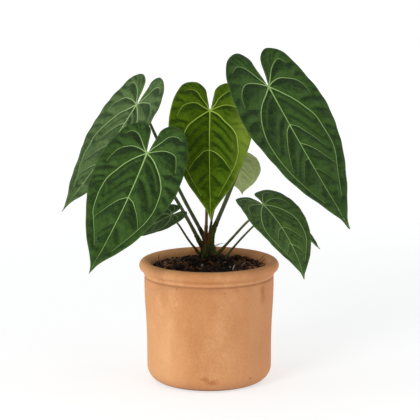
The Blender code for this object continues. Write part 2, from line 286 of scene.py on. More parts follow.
def smoothPath(points, steps):
    points = np.asarray(points, dtype=float)
    ends = np.vstack([2 * points[0] - points[1], points, 2 * points[-1] - points[-2]])
    path = []
    for a, b, c, d in zip(ends, ends[1:], ends[2:], ends[3:]):
        before, here, after = (np.linalg.norm(q - p) ** 0.5 for p, q in ((a, b), (b, c), (c, d)))
        leave = here * ((b - a) / before - (c - a) / (before + here)) + (c - b)
        reach = here * ((d - c) / after - (d - b) / (here + after)) + (c - b)
        for i in range(steps):
            t = i / steps
            bend = (t**3 - 2 * t**2 + t) * leave + (t**3 - t**2) * reach
            path.append((2 * t**3 - 3 * t**2 + 1) * b + (3 * t**2 - 2 * t**3) * c + bend)
    return np.array(path + [points[-1]])


def evenPath(points, spacing):
    points = np.asarray(points, dtype=float)
    length = np.concatenate([[0], np.cumsum(np.linalg.norm(np.diff(points, axis=0), axis=1))])
    stops = np.linspace(0, length[-1], max(4, int(length[-1] / spacing) + 1))
    return np.stack([np.interp(stops, length, points[:, k]) for k in range(points.shape[1])], axis=1)


# Camera at the photograph's angle, and the studio

studio = {
    "cameraPlace": (0.001, -2.1018, 0.5636),
    "cameraDip": 10.2,
    "focalLength": 171.43,
    "floorColour": (0.5, 0.5, 0.497),
    "floorGlow": (0.61, 0.785),       # near the pot, where the lamps reach, and far away
    "floorGlowReach": (0.3, 1.9),
    # place, power and size of each lamp
    "lamps": {
        "keySoftbox": ((-1.25, -1.92, 0.95), 28.0, 0.8),
        "fillSoftbox": ((1.7, -1.4, 0.8), 9.0, 1.6),
        "topSoftbox": ((-0.4, 0.7, 2.3), 4.0, 1.8),
        "edgeSoftbox": ((2.1, 0.25, 0.6), 9.0, 0.9),
        "sideSoftbox": ((-2.3, -0.3, 0.55), 14.0, 1.2),
    },
    "lampAim": (0, 0, 0.2),
    "skyColour": (0.95, 0.97, 1.0, 1),
    "skyStrength": 0.45,
    "floorReach": 30, "floorDrop": 0.0002,
}


def areaLight(name, place, power, size):
    light = bpy.data.lights.new(name, "AREA")
    light.energy = power
    light.size = size
    lamp = bpy.data.objects.new(name, light)
    lamp.location = place
    lamp.rotation_euler = (Vector(studio["lampAim"]) - Vector(place)).to_track_quat("-Z", "Y").to_euler()
    bpy.context.scene.collection.objects.link(lamp)


def buildStudio():
    view = bpy.data.cameras.new("photoView")
    view.lens = studio["focalLength"]
    view.sensor_width = 36
    view.clip_end = 60
    camera = bpy.data.objects.new("photoView", view)
    camera.location = studio["cameraPlace"]
    camera.rotation_euler = (radians(90 - studio["cameraDip"]), 0, 0)
    bpy.context.scene.collection.objects.link(camera)
    bpy.context.scene.camera = camera
    bpy.context.scene.view_settings.view_transform = "Standard"

    for name, (place, power, size) in studio["lamps"].items():
        areaLight(name, place, power, size)
    world = bpy.data.worlds.new("paleRoom")
    world.use_nodes = True
    room = world.node_tree.nodes["Background"]
    room.inputs["Color"].default_value = studio["skyColour"]
    room.inputs["Strength"].default_value = studio["skyStrength"]
    bpy.context.scene.world = world

    finish, tree, shader = newFinish("paleFloor")
    glow = remap(awayFrom(objectPlace(tree), (0, 0, 0)), *studio["floorGlowReach"], studio["floorGlow"])
    feed(shader, {"Base Color": (*studio["floorColour"], 1), "Roughness": 0.8, "Specular IOR Level": 0.05,
                  "Emission Color": (1, 1, 1, 1), "Emission Strength": glow})
    corners = [(x * studio["floorReach"], y * studio["floorReach"], 0)
               for x, y in ((-1, -1), (1, -1), (1, 1), (-1, 1))]
    floor = showMesh("paleFloor", meshFrom("paleFloor", corners, [(0, 1, 2, 3)], smooth=False))
    floor.location.z = -studio["floorDrop"]
    floor.data.materials.append(finish)
    print("studio ready")


# Terracotta pot, turned by Geometry Nodes from its profile

pot = {
    "wallRadius": 66.8, "shoulderRadius": 69.5, "footRound": 17.0, "beadRadius": 5.9, "rimCircle": 69.1,
    "rimHeight": 126.0, "grooveHeight": 115.0,
    # steps of the groove's outline, out from the shoulder and up from the groove's middle
    "groove": ((0, -1.7), (-0.25, -0.9), (-1.05, -0.2), (-1.05, 0.2), (-0.05, 0.9), (0.4, 1.7), (0.3, 2.6),
               (0.05, 3.8)),
    "outerWall": ((66.95, 44), (67.4, 62), (68.2, 76), (69.1, 90), (69.5, 104)),
    "innerWall": ((60.6, 70), (58.2, 40)), "innerFoot": 57.0, "floorThickness": 7.0, "floorRound": 12.0,
    "drains": 3, "drainRadius": 5.0, "drainCircle": 24.0, "drainTurn": 94.0, "drainSides": 28,
    "drillHeights": (-4, 12),
    "segments": 176, "profileSteps": 300, "wobble": 0.0088,
}


def arcPoints(centreR, centreZ, radius, first, last, steps):
    turns = np.radians(np.linspace(first, last, steps + 1))
    return [(centreR + radius * cos(a), centreZ + radius * sin(a)) for a in turns]


def potInside():
    lip = pot["rimCircle"] - pot["beadRadius"]
    corner = pot["innerFoot"] - pot["floorRound"]
    wall = [(lip, 120), (lip - 0.6, 100), *pot["innerWall"]]
    floor = arcPoints(corner, pot["floorThickness"] + pot["floorRound"], pot["floorRound"], 0, -90, 8)
    return wall + floor + [(0, pot["floorThickness"])]


def potProfile():
    corner = pot["wallRadius"] - pot["footRound"]
    outside = [(0, 0), (corner - 6, 0)]
    outside += arcPoints(corner, pot["footRound"], pot["footRound"], -90, 0, 16)
    outside += pot["outerWall"]
    outside += [(pot["shoulderRadius"] + out, pot["grooveHeight"] + up) for out, up in pot["groove"]]
    bead = arcPoints(pot["rimCircle"], pot["rimHeight"], pot["beadRadius"], -78, 180, 30)
    return [(r * mm, 0, z * mm) for r, z in outside + bead + potInside()]


def turnedPotTree():
    tree, given, result = geometryTree("turnedPot", {
        "Segments": "Int", "Profile Steps": "Int", "Wobble": "Float", "Finish": "Material"})
    profile = curvesOf(given)
    grid = put(tree, "GeometryNodeMeshGrid", {
        "Size X": 1.0, "Size Y": 1.0, "Vertices X": given["Segments"] + 1.0,
        "Vertices Y": given["Profile Steps"]})
    split = splitUp(put(tree, "GeometryNodeInputPosition"))
    turn = split["X"] * (2 * pi)
    along = split["Y"] + 0.5
    spot = put(tree, "GeometryNodeSampleCurve", {"Curves": profile, "Factor": along}, mode="FACTOR",
               use_all_curves=True)
    place = splitUp(spot["Position"])
    around = [math(way, turn) for way in ("COSINE", "SINE")]
    lumps = cloud(joined(tree, around[0], around[1], place["Z"] * 9.0), 1.6, 3.0, 0.5)
    swell = (lumps - 0.5) * given["Wobble"]
    grown = place["X"] * (swell + 1.0)
    moved = joined(tree, grown * around[0], grown * around[1], place["Z"])
    turned = put(tree, "GeometryNodeSetPosition", {"Geometry": grid, "Position": moved})
    closed = put(tree, "GeometryNodeMergeByDistance", {"Geometry": turned, "Distance": 0.00002})
    return closeTree(closed, given, result)


def potFinish():
    finish, tree, shader = newFinish("terracotta")
    place = objectPlace(tree)
    broad = cloud(place, 11.0, 3.0)
    patches = cloud(stretched(place, (1, 1, 0.6)), 34.0, 5.0, 0.6, 0.4)
    fine = cloud(place, 420.0, 3.0, 0.6)
    colour = blend(remap(broad, 0.3, 0.7), (0.48, 0.205, 0.076), (0.6, 0.285, 0.115))
    colour = blend(remap(patches, 0.42, 0.75), colour, (0.63, 0.325, 0.145))
    colour = blend(remap(fine, 0.35, 0.75) * 0.35, colour, (0.37, 0.145, 0.055))
    split = splitUp(place)
    side, height = split["X"], split["Z"]
    # painted light and shade: the pot's right side is painted rosier and darker, and its left side painted
    # lighter, most of all low down
    colour = blend(remap(side, 0.0, 0.05) * 0.5, colour, (0.5, 0.22, 0.1))
    left = remap(side, -0.012, -0.05) * remap(height, 0.11, 0.03, (0.2, 0.6))
    colour = blend(left, colour, (0.68, 0.36, 0.165))
    # a paler ridge above the groove, partly wear and partly painted highlight, and painted shade in the
    # groove
    ridge = band(height, 0.1158, 0.1166, 0.1176, 0.1188)
    colour = blend(ridge * 0.16, colour, (0.78, 0.46, 0.26))
    paintedGrooveShade = band(height, 0.1128, 0.1144, 0.1152, 0.1162)
    colour = blend(paintedGrooveShade * 0.34, colour, (0.22, 0.085, 0.035))
    # faint patchy darker bands under the collar, and painted shade at the foot
    under = band(height, 0.104, 0.113, 0.1155, 0.1175) * remap(cloud(place, 60.0, 4.0), 0.42, 0.62)
    colour = blend(under * 0.22, colour, (0.25, 0.1, 0.045))
    foot = remap(height, 0.016, 0.002) * 0.45
    colour = blend(foot, colour, (0.36, 0.15, 0.065))
    # a thin painted contact shadow along the lowest few millimetres
    colour = blend(remap(height, 0.0042, 0.0008) * 0.85, colour, (0.09, 0.035, 0.016))
    # stains and chips, each at its own place
    broken = remap(cloud(stretched(place, (1, 1, 1.3)), 420.0, 5.0, 0.75), 0.3, 0.56)
    for x, y, z, reach, strength, tall in potMarks:
        away = awayFrom(stretched(place, (1, 1, 1 / tall)), (x, y, z / tall))
        ragged = away + (patches - 0.5) * (reach * 0.8)
        spot = remap(ragged, reach, reach * 0.1) * strength
        large = reach > 0.003
        if large:
            spot = spot * broken
        colour = blend(spot, colour, (0.36, 0.125, 0.036) if large else (0.2, 0.062, 0.018))
    specks = put(tree, "ShaderNodeTexVoronoi", {"Vector": place, "Scale": 150.0, "Randomness": 1.0})
    rare = put(tree, "ShaderNodeSeparateColor", {0: specks["Color"]})
    dots = remap(specks["Distance"], 0.13, 0.05) * math("GREATER_THAN", rare, 0.93)
    colour = blend(dots * 0.6, colour, (0.17, 0.08, 0.045))
    pits = cloud(place, 900.0, 2.0, 0.7)
    rough = remap(patches, 0.2, 0.8, (0.72, 0.9))
    grain = pits * 0.5 + fine * 0.8 - dots * 1.2
    wear(shader, colour, rough, 0.25, bumped(grain, 0.0002, 0.6))
    return finish


# x, y, z, reach, strength, and height against width
potMarks = (
    (-0.0335, -0.0605, 0.1125, 0.0014, 0.85, 1.0),
    (0.0167, -0.0672, 0.109, 0.0013, 0.85, 1.0),
    (0.0562, -0.0405, 0.1065, 0.0068, 0.8, 1.3),
    (0.0568, -0.0395, 0.098, 0.0085, 0.6, 1.3),
    (0.040, -0.0565, 0.1005, 0.005, 0.22, 0.8),
    (-0.0045, -0.0655, 0.0165, 0.0068, 0.9, 0.6),
    (0.0035, -0.0655, 0.0128, 0.0115, 0.95, 0.45),
    (0.0085, -0.065, 0.0165, 0.0022, 0.8, 0.9),
    (0.044, -0.0505, 0.0135, 0.0028, 0.6, 0.8),
    (-0.046, -0.0515, 0.1215, 0.0065, 0.35, 1.0),
    (0.047, -0.0505, 0.1215, 0.0065, 0.4, 1.0),
    (0.061, -0.026, 0.058, 0.005, 0.18, 1.0),
    (-0.0505, -0.044, 0.03, 0.006, 0.15, 1.0),
)


def drainDrill(number):
    turn = radians(pot["drainTurn"] + 360 / pot["drains"] * number)
    circle, radius, sides = pot["drainCircle"] * mm, pot["drainRadius"] * mm, pot["drainSides"]
    points = []
    for z in pot["drillHeights"]:
        for way in turns(sides):
            x, y = circle * cos(turn) + radius * cos(way), circle * sin(turn) + radius * sin(way)
            points.append((x, y, z * mm))
    name = f"drainDrill{number}"
    return showMesh(name, meshFrom(name, points, ringFaces((0, sides), sides, capped=True), smooth=False))


def buildPot():
    carrier = linesFrom("potProfile", [potProfile()])
    turned = grow("terracottaPot", carrier, turnedPotTree(), {
        "Segments": pot["segments"], "Profile Steps": pot["profileSteps"], "Wobble": pot["wobble"],
        "Finish": potFinish()})
    drills = [drainDrill(number) for number in range(pot["drains"])]
    for drill in drills:
        cut = turned.modifiers.new("drain", "BOOLEAN")
        cut.operation = "DIFFERENCE"
        cut.object = drill
    turned.data = applied(turned)
    for drill in drills:
        bpy.data.objects.remove(drill, do_unlink=True)
    settle(turned, "pot")
    print("pot turned", len(turned.data.polygons), "faces")


# Leaves: the blades' outline and pose come from the same numbers as the CAD

heartEdge = (
    (0.0, 0.0, 0.0), (-0.09, 0.026, 0.010), (-0.197, 0.040, 0.022), (-0.25, 0.11, 0.036),
    (-0.21, 0.21, 0.052),
    (-0.09, 0.28, 0.080), (0.10, 0.325, 0.145), (0.30, 0.328, 0.27), (0.52, 0.264, 0.44), (0.72, 0.17, 0.65),
    (0.88, 0.058, 0.84), (0.936, 0.022, 0.92), (1.0, 0.0, 1.0),
)

leafBuild = {
    "thickness": 0.7, "edgeThickness": 0.3, "spokes": 156, "rings": 44,
    "quilt": 2.5, "quiltReach": 5.0, "ripple": 0.25, "rippleSpacing": 0.07, "rippleSlant": 1.1,
    "lateralSpacing": 0.115, "lateralJitter": 0.02, "faintSoftening": 4.2, "napStep": 0.006,
    "valley": 0.55, "valleyReach": 2.2, "edgeWave": 0.007, "ribLift": 0.13, "ribSpacing": 1.4,
    "usualLength": 150, "inlandReach": 20,
}

# Veins that every leaf has on both sides, in blade lengths, with their half width in mm at the start
basalVeins = (
    ("lobe", 0.85, ((0, 0), (-0.05, 0.035), (-0.10, 0.07), (-0.15, 0.115), (-0.165, 0.17), (-0.13, 0.215))),
    ("side", 0.85, ((0, 0), (-0.02, 0.05), (-0.035, 0.11), (-0.03, 0.16), (0.0, 0.21), (0.05, 0.245),
                    (0.12, 0.265))),
    ("long", 1.05, ((0, 0), (0.05, 0.06), (0.11, 0.12), (0.18, 0.17), (0.26, 0.205), (0.35, 0.225),
                    (0.44, 0.22), (0.53, 0.2), (0.62, 0.165), (0.71, 0.115), (0.8, 0.07))),
)

# Side veins: side, foot on the midrib, and where given how pale and how far spread
smallLaterals = ((1, 0.35), (-1, 0.35), (1, 0.56), (-1, 0.58))

leaves = {
    "left_back": dict(
        length=141, seat=(-78, 30, 295), heading=-56, drop=53, roll=-4,
        droop=-2, lobeBend=-6, sweep=11, fold=4, width=1.0,
        stalk=(2.1, 1.5), start=(-6.5, 19, 155), route=((-32.4, 20, 204.7), (-56.9, 28, 260.2)),
        laterals=((1, 0.37), (-1, 0.37), (1, 0.17), (-1, 0.2), (1, 0.55), (-1, 0.58), (1, 0.72)),
        finish="leafPale"),
    "left_front": dict(
        length=147.5, seat=(-64, -61, 256), heading=-27, drop=48, roll=-8,
        droop=3, lobeBend=4, sweep=11, fold=1.5, width=1.0,
        stalk=(2.1, 1.5), start=(-10.5, 10, 150), route=((-22, -1, 174), (-35.5, -16, 201)),
        laterals=((1, 0.37, 0.85), (-1, 0.37, 0.85), (1, 0.26, 0.3), (1, 0.58, 0.35), (-1, 0.6, 0.25)),
        finish="leafDark"),
    "centre": dict(
        length=134.5, seat=(1, 6, 292), heading=-2, drop=49, roll=-5,
        droop=1.5, lobeBend=11, sweep=-3.5, fold=16, width=1.02,
        stalk=(1.7, 1.3), start=(-3.2, 13.5, 158), route=((-2.5, 14, 184.3), (-0.5, 22, 235)),
        laterals=((1, 0.37, 1.0), (-1, 0.37, 1.0), (1, 0.18, 0.3), (-1, 0.17, 0.3), (1, 0.56, 0.35),
                  (-1, 0.58, 0.35)), finish="leafYoung"),
    "right": dict(
        length=174, seat=(62, -35, 322), heading=44, drop=51, roll=6.5,
        droop=4.5, lobeBend=-4, sweep=-8, fold=3, width=1.01,
        stalk=(2.4, 1.7), start=(5.2, 11, 163),
        route=((18.7, 6, 196.2), (29.7, 0.5, 225.4), (42.8, -7, 265.8)),
        laterals=((1, 0.27, 0.95, 1.4), (-1, 0.27, 0.7), (-1, 0.4, 0.75), (1, 0.5, 0.45), (-1, 0.58, 0.4),
                  (1, 0.68, 0.3), (-1, 0.72, 0.3)), finish="leafDark"),
    "right_low": dict(
        length=98, seat=(56.5, -55, 201), heading=42.5, drop=30, roll=9,
        droop=27, lobeBend=32, sweep=13.5, fold=5.5, width=1.0,
        stalk=(1.5, 1.15), start=(11.8, -0.3, 140.7), route=((25, -16, 158.5), (39.9, -34, 178.6)),
        laterals=smallLaterals, finish="leafShade"),
    "right_hidden": dict(
        length=73, seat=(58, -10, 182.5), heading=69, drop=16, roll=-8,
        droop=21, lobeBend=8, sweep=4, fold=18, width=1.0,
        stalk=(1.25, 1.0), start=(12, 14.7, 120), route=((23.1, 10, 138.7), (46.4, 0, 166.9)),
        laterals=smallLaterals, finish="leafShade"),
    "left_low": dict(
        length=57.5, seat=(-39.5, -28, 185.5), heading=-62, drop=22, roll=-19,
        droop=2, lobeBend=10, sweep=5, fold=6, width=1.0,
        stalk=(1.25, 1.0), start=(-11.5, 10.5, 137.5), route=((-21, 5, 150.5), (-32.7, -6, 171)),
        laterals=smallLaterals, finish="leafPale"),
    "back": dict(
        length=77, seat=(28, 35, 239), heading=171, drop=38, roll=9,
        droop=9.5, lobeBend=18, sweep=2, fold=0, width=1.05,
        stalk=(1.15, 0.95), start=(1.2, 20, 160), route=((3.1, 22, 172.6), (10, 25, 198)),
        laterals=(*smallLaterals, (1, 0.2), (-1, 0.22)), finish="leafPale"),
}


def leafAxes(leaf):
    heading, drop, roll = radians(leaf["heading"]), radians(leaf["drop"]), radians(leaf["roll"])
    level = np.array([sin(heading), -cos(heading), 0])
    along = cos(drop) * level - sin(drop) * np.array([0, 0, 1])
    upper = sin(drop) * level + cos(drop) * np.array([0, 0, 1])
    across = np.cross(along, upper)
    return along, cos(roll) * upper + sin(roll) * across, cos(roll) * across - sin(roll) * upper


class LeafForm:
    # bends flat heart places into the leaf's pose, with its quilting between the veins

    def __init__(self, name):
        self.name = name
        self.leaf = leaves[name]
        self.long = self.leaf["length"]
        self.edge = smoothPath(heartEdge, 14)
        self.edgeLine = np.vstack([self.edge[:, :2], self.edge[::-1, :2] * (1, -1)])
        self.veins = self.veinPlan()
        stops = np.linspace(-0.5, 1.2, 1701)
        along, upper, across = leafAxes(self.leaf)
        droop = np.where(stops > 0, self.leaf["droop"] * stops, self.leaf["lobeBend"] * stops / 0.25)
        droop = np.radians(droop)
        sweep = np.radians(self.leaf["sweep"] * np.maximum(stops, 0))
        bent = np.cos(droop)[:, None] * along - np.sin(droop)[:, None] * upper
        self.up = np.cos(droop)[:, None] * upper + np.sin(droop)[:, None] * along
        self.side = np.cos(sweep)[:, None] * across - np.sin(sweep)[:, None] * bent
        ahead = np.cos(sweep)[:, None] * bent + np.sin(sweep)[:, None] * across
        steps = (ahead[1:] + ahead[:-1]) / 2 * (stops[1] - stops[0])
        self.spine = np.vstack([[0, 0, 0], np.cumsum(steps, axis=0)])
        self.spine -= self.spine[500]
        self.stops = stops

    def pick(self, table, u):
        return np.stack([np.interp(u, self.stops, table[:, k]) for k in range(3)], axis=-1)

    def halfWidthAt(self, u):
        front = self.edge[60:]
        return np.interp(u, front[:, 0], front[:, 1])

    def veinPlan(self):
        # each vein: line of places, half width in mm at its start and end, how deep its valley is, how pale
        chance = random.Random(self.name)
        size = (self.long / leafBuild["usualLength"]) ** 0.5
        plan = [(np.stack([np.linspace(0, 0.985, 60), np.zeros(60)], axis=1), 1.35 * size, 0.22, 1.0, 1.0)]
        rims = {}
        for side in (1, -1):
            for kind, wide, places in basalVeins:
                jitter = [(u + chance.uniform(-0.006, 0.006), side * (v + chance.uniform(-0.006, 0.006)))
                          for u, v in places[1:]]
                line = smoothPath([places[0], *jitter], 8)
                plan.append((line, wide * size, 0.2, 0.95, 0.95))
                rims[(side, kind)] = line
        feet = {1: [], -1: []}
        for side, foot, *more in self.leaf["laterals"]:
            pale, stretch = (*more, *(0.75, 1.0)[len(more):])
            feet[side].append(foot)
            line = self.lateral(side, foot, chance, stretch)
            plan.append((line, (0.4 + 0.32 * pale) * size, 0.16, 0.9, pale))
        # fainter ones between them, which show more as folds than as lines
        for side in (1, -1):
            for foot in np.arange(0.075, 0.86, leafBuild["lateralSpacing"]):
                foot += chance.uniform(-leafBuild["lateralJitter"], leafBuild["lateralJitter"])
                if min(abs(foot - other) for other in feet[side]) > leafBuild["lateralSpacing"] * 0.55:
                    line = self.lateral(side, foot, chance)
                    plan.append((line, 0.3 * size, 0.12, chance.uniform(0.4, 0.7), 0.2))
        # small veins run outwards from the long side veins and from those of the lobes
        for (side, kind), line in rims.items():
            count = 7 if kind == "long" else 3
            for i in range(count):
                where = int((0.2 + 0.72 * (i + 0.5 + chance.uniform(-0.25, 0.25)) / count) * (len(line) - 1))
                start = line[where]
                ahead = unit(line[min(where + 2, len(line) - 1)] - line[max(where - 2, 0)])
                out = np.array([-ahead[1], ahead[0]])
                if out[1] * side < 0:
                    out = -out
                if kind == "lobe":
                    out = np.array([-1.0, 0.25 * side])
                way = unit(out * 0.85 + ahead * 0.6)
                reach = self.roomAhead(start, way)
                if reach > 0.02:
                    mid = start + way * reach * 0.5 + out * reach * 0.05
                    end = start + way * reach * 0.9 + ahead * reach * 0.12
                    plan.append((smoothPath([start, mid, end], 6), 0.32 * size, 0.12, 0.6, 0.25))
        return plan

    def lateral(self, side, foot, chance, stretch=1.0):
        # from the midrib out to the long side vein, bowed towards the tip
        limit = 0.80 * self.halfWidthAt(min(foot + 0.2, 0.93))
        reach = min(0.175, limit)
        spread = 0.22 * stretch * reach / 0.175
        places = [(foot, 0)]
        for t in np.linspace(0, 1, 6)[1:]:
            places.append((foot + spread * t**1.25 + chance.uniform(-0.004, 0.004), side * reach * t**0.8))
        return smoothPath(places, 6)

    def roomAhead(self, start, way):
        for reach in np.arange(0.01, 0.3, 0.01):
            tip = start + way * reach
            if np.min(np.linalg.norm(self.edgeLine - tip, axis=1)) < 0.012:
                return reach - 0.005
        return 0.0

    def veinCloseness(self, places):
        # depth of the vein valleys and distance in mm to the nearest strong vein
        valley = np.zeros(len(places))
        nearest = np.full(len(places), 99.0)
        spread = 20 / self.long
        for line, _, _, depth, _ in self.veins:
            low, high = line.min(axis=0) - spread, line.max(axis=0) + spread
            near = np.all((places > low) & (places < high), axis=1)
            if not near.any():
                continue
            away = distanceTo(places[near], line) * self.long
            valley[near] = np.maximum(valley[near], depth * hump(away, leafBuild["valleyReach"]))
            if depth > 0.3:
                softened = away + leafBuild["faintSoftening"] * max(0.0, 0.85 - depth)
                nearest[near] = np.minimum(nearest[near], softened)
        return valley, nearest

    def rise(self, places):
        valley, nearest = self.veinCloseness(places)
        away = distanceTo(places, self.edgeLine) * self.long
        quilt = leafBuild["quilt"] * (1 - hump(nearest, leafBuild["quiltReach"]))
        # swellings between the side veins, in bands that run as the small veins do
        across = np.abs(places[:, 1])
        slant = (places[:, 0] - leafBuild["rippleSlant"] * across) / leafBuild["rippleSpacing"]
        slant += 0.3 * np.sin(across * 27 + places[:, 0] * 9) + 0.5 * np.sign(places[:, 1]) + len(self.name)
        slant += 0.16 * np.sin(places[:, 0] * 41 - places[:, 1] * 23)
        ripple = np.sin(2 * pi * slant) * (0.7 + 0.3 * np.sin(places[:, 0] * 29 + places[:, 1] * 37))
        ripple += 0.28 * np.sin(4.6 * pi * slant + 1.7 * np.sin(across * 40))
        ripple *= (1 - hump(nearest, 4.0)) * (1 - np.exp(-away / 4.0))
        quilt *= 1 - np.exp(-away / 5.0)
        quilt += leafBuild["ripple"] * ripple
        wave = leafBuild["edgeWave"] * self.long * np.exp(-away / 7.0)
        turn = places[:, 0] * 17 + np.sign(places[:, 1]) * 0.8
        wave *= np.sin(turn) * 0.55 + 0.3 * np.sin(turn * 2.7 + 1)
        wave *= np.minimum(1, np.hypot(places[:, 0], places[:, 1]) * 8)
        size = min(1.0, self.long / 120)
        return (quilt * size - leafBuild["valley"] * valley * size + wave) / self.long, nearest, away

    def at(self, places, rise=None):
        u, v = places[:, 0], places[:, 1] * self.leaf["width"]
        fold = radians(self.leaf["fold"])
        if rise is None:
            rise = self.rise(places)[0]
        body = self.pick(self.spine, u) + (v * cos(fold))[:, None] * self.pick(self.side, u)
        body += (np.abs(v) * sin(fold) + rise)[:, None] * self.pick(self.up, u)
        return (np.array(self.leaf["seat"]) + self.long * body) * mm

    def facing(self, places):
        # upper face's direction, by small steps along and across
        step = 0.002
        ahead = self.at(places + (step, 0)) - self.at(places - (step, 0))
        aside = self.at(places + (0, step)) - self.at(places - (0, step))
        out = np.cross(aside, ahead)
        out /= np.linalg.norm(out, axis=1)[:, None]
        up = self.pick(self.up, places[:, 0])
        return out * np.sign((out * up).sum(axis=1))[:, None]


def distanceTo(places, line):
    best = np.full(len(places), 81.0)
    starts, ways = line[:-1], np.diff(line, axis=0)
    sizes = np.maximum((ways**2).sum(axis=1), 1e-12)
    for first in range(0, len(starts), 16):
        pick = slice(first, first + 16)
        gap = places[:, None] - starts[pick]
        part = np.clip((gap * ways[pick]).sum(axis=2) / sizes[pick], 0, 1)
        away = ((gap - part[:, :, None] * ways[pick])**2).sum(axis=2)
        np.minimum(best, away.min(axis=1), out=best)
    return np.sqrt(best)


def buildBlade(form):
    small = form.long < 100
    spokes = 84 if small else leafBuild["spokes"]
    rings = 26 if small else leafBuild["rings"]
    stops = np.linspace(0, len(form.edge) - 1, spokes + 1)
    rows = np.stack([np.interp(stops, range(len(form.edge)), form.edge[:, k]) for k in range(3)], axis=1)
    places, index = [], {}
    for side in (1, -1):
        for spoke in range(spokes + 1):
            for ring in range(rings + 1):
                key = (spoke, ring, side) if ring and 0 < spoke < spokes else (spoke, 0, 0)
                if key not in index:
                    u, v, foot = rows[spoke]
                    part = (ring / rings) ** 0.92
                    index[key] = len(places)
                    places.append((foot + (u - foot) * part, side * v * part))
                index[(spoke, ring, side, 1)] = index[key]
    faces = []
    for side in (1, -1):
        for spoke in range(spokes):
            for ring in range(rings):
                quad = [index[(spoke + i, ring + j, side, 1)] for i, j in ((0, 0), (1, 0), (1, 1), (0, 1))]
                quad = [p for i, p in enumerate(quad) if p != quad[i - 1]]
                if len(set(quad)) >= 3:
                    faces.append(quad if side == 1 else quad[::-1])
    places = np.array(places)
    rise, nearest, away = form.rise(places)
    # painted light and shade: slopes of the quilting that face the tip are painted lighter and those that
    # face the stalk darker, standing in for how light falls on the velvety quilting
    step = np.array((leafBuild["napStep"], 0))
    nap = (form.rise(places - step)[0] - form.rise(places + step)[0]) / (2 * leafBuild["napStep"])
    middle = form.at(places, rise)
    normal = np.zeros_like(middle)
    for quad in faces:
        a, b, c = middle[quad[0]], middle[quad[1]], middle[quad[2]]
        turn = np.cross(b - a, c - a)
        for corner in quad:
            normal[corner] += turn
    if (normal * form.pick(form.up, places[:, 0])).sum() < 0:
        faces = [quad[::-1] for quad in faces]
        normal = -normal
    normal /= np.maximum(np.linalg.norm(normal, axis=1), 1e-12)[:, None]
    half = leafBuild["edgeThickness"] + (leafBuild["thickness"] - leafBuild["edgeThickness"]) * (
        1 - np.exp(-away / 1.5))
    half = half[:, None] * mm / 2
    count = len(places)
    points = np.vstack([middle + normal * half, middle - normal * half])
    below = [[p + count for p in quad[::-1]] for quad in faces]
    uses = dict.fromkeys((a, b) for quad in faces for a, b in zip(quad, quad[1:] + quad[:1]))
    rim = [(b, a, a + count, b + count) for a, b in uses if (b, a) not in uses]
    mesh = meshFrom("leafBlade_" + form.name, points, faces + below + rim)
    addValues(mesh, vein=np.zeros(2 * count), nap=np.tile(nap, 2), nearVein=np.tile(hump(nearest, 3.2), 2),
              under=np.repeat((0, 1), count), inland=np.tile(away, 2) / leafBuild["inlandReach"])
    mapLeaf(mesh, np.vstack([places, places]), form.long)
    return showMesh("leafBlade_" + form.name, mesh)


def mapLeaf(mesh, places, long):
    layer = mesh.uv_layers.new(name="leafMap")
    corners = np.zeros(len(mesh.loops), dtype=np.int32)
    mesh.loops.foreach_get("vertex_index", corners)
    spots = places[corners] * long / leafBuild["usualLength"]
    layer.data.foreach_set("uv", spots.astype(np.float32).ravel())


def veinRibTree():
    tree, given, result = geometryTree("veinRibs", {
        "Rib Height": "Float", "Sink": "Float", "Finish": "Material"})
    lines = curvesOf(given)
    facing = fieldNamed(tree, "facing", "FLOAT_VECTOR")
    lines = put(tree, "GeometryNodeSetCurveNormal", {"Curve": lines, "Normal": facing}, mode="FREE")
    across = put(tree, "GeometryNodeCurvePrimitiveLine", {"Start": (0, -1, 0), "End": (0, 1, 0)})
    across = put(tree, "GeometryNodeResampleCurve", {"Curve": across, "Count": 7}, mode="COUNT")
    y = splitUp(put(tree, "GeometryNodeInputPosition"))["Y"]
    crown = 1.0 - y * y
    lift = crown * given["Rib Height"] - given["Sink"]
    across = put(tree, "GeometryNodeSetPosition", {
        "Geometry": across, "Position": joined(tree, lift, y, 0.0)})
    ridge = fieldNamed(tree, "halfWidth")
    kept = put(tree, "GeometryNodeStoreNamedAttribute", {
        "Geometry": across, "Name": "vein", "Value": math("POWER", crown, 0.8)},
        data_type="FLOAT", domain="POINT")
    ribs = put(tree, "GeometryNodeCurveToMesh", {"Curve": lines, "Profile Curve": kept, "Scale": ridge})
    return closeTree(ribs, given, result)


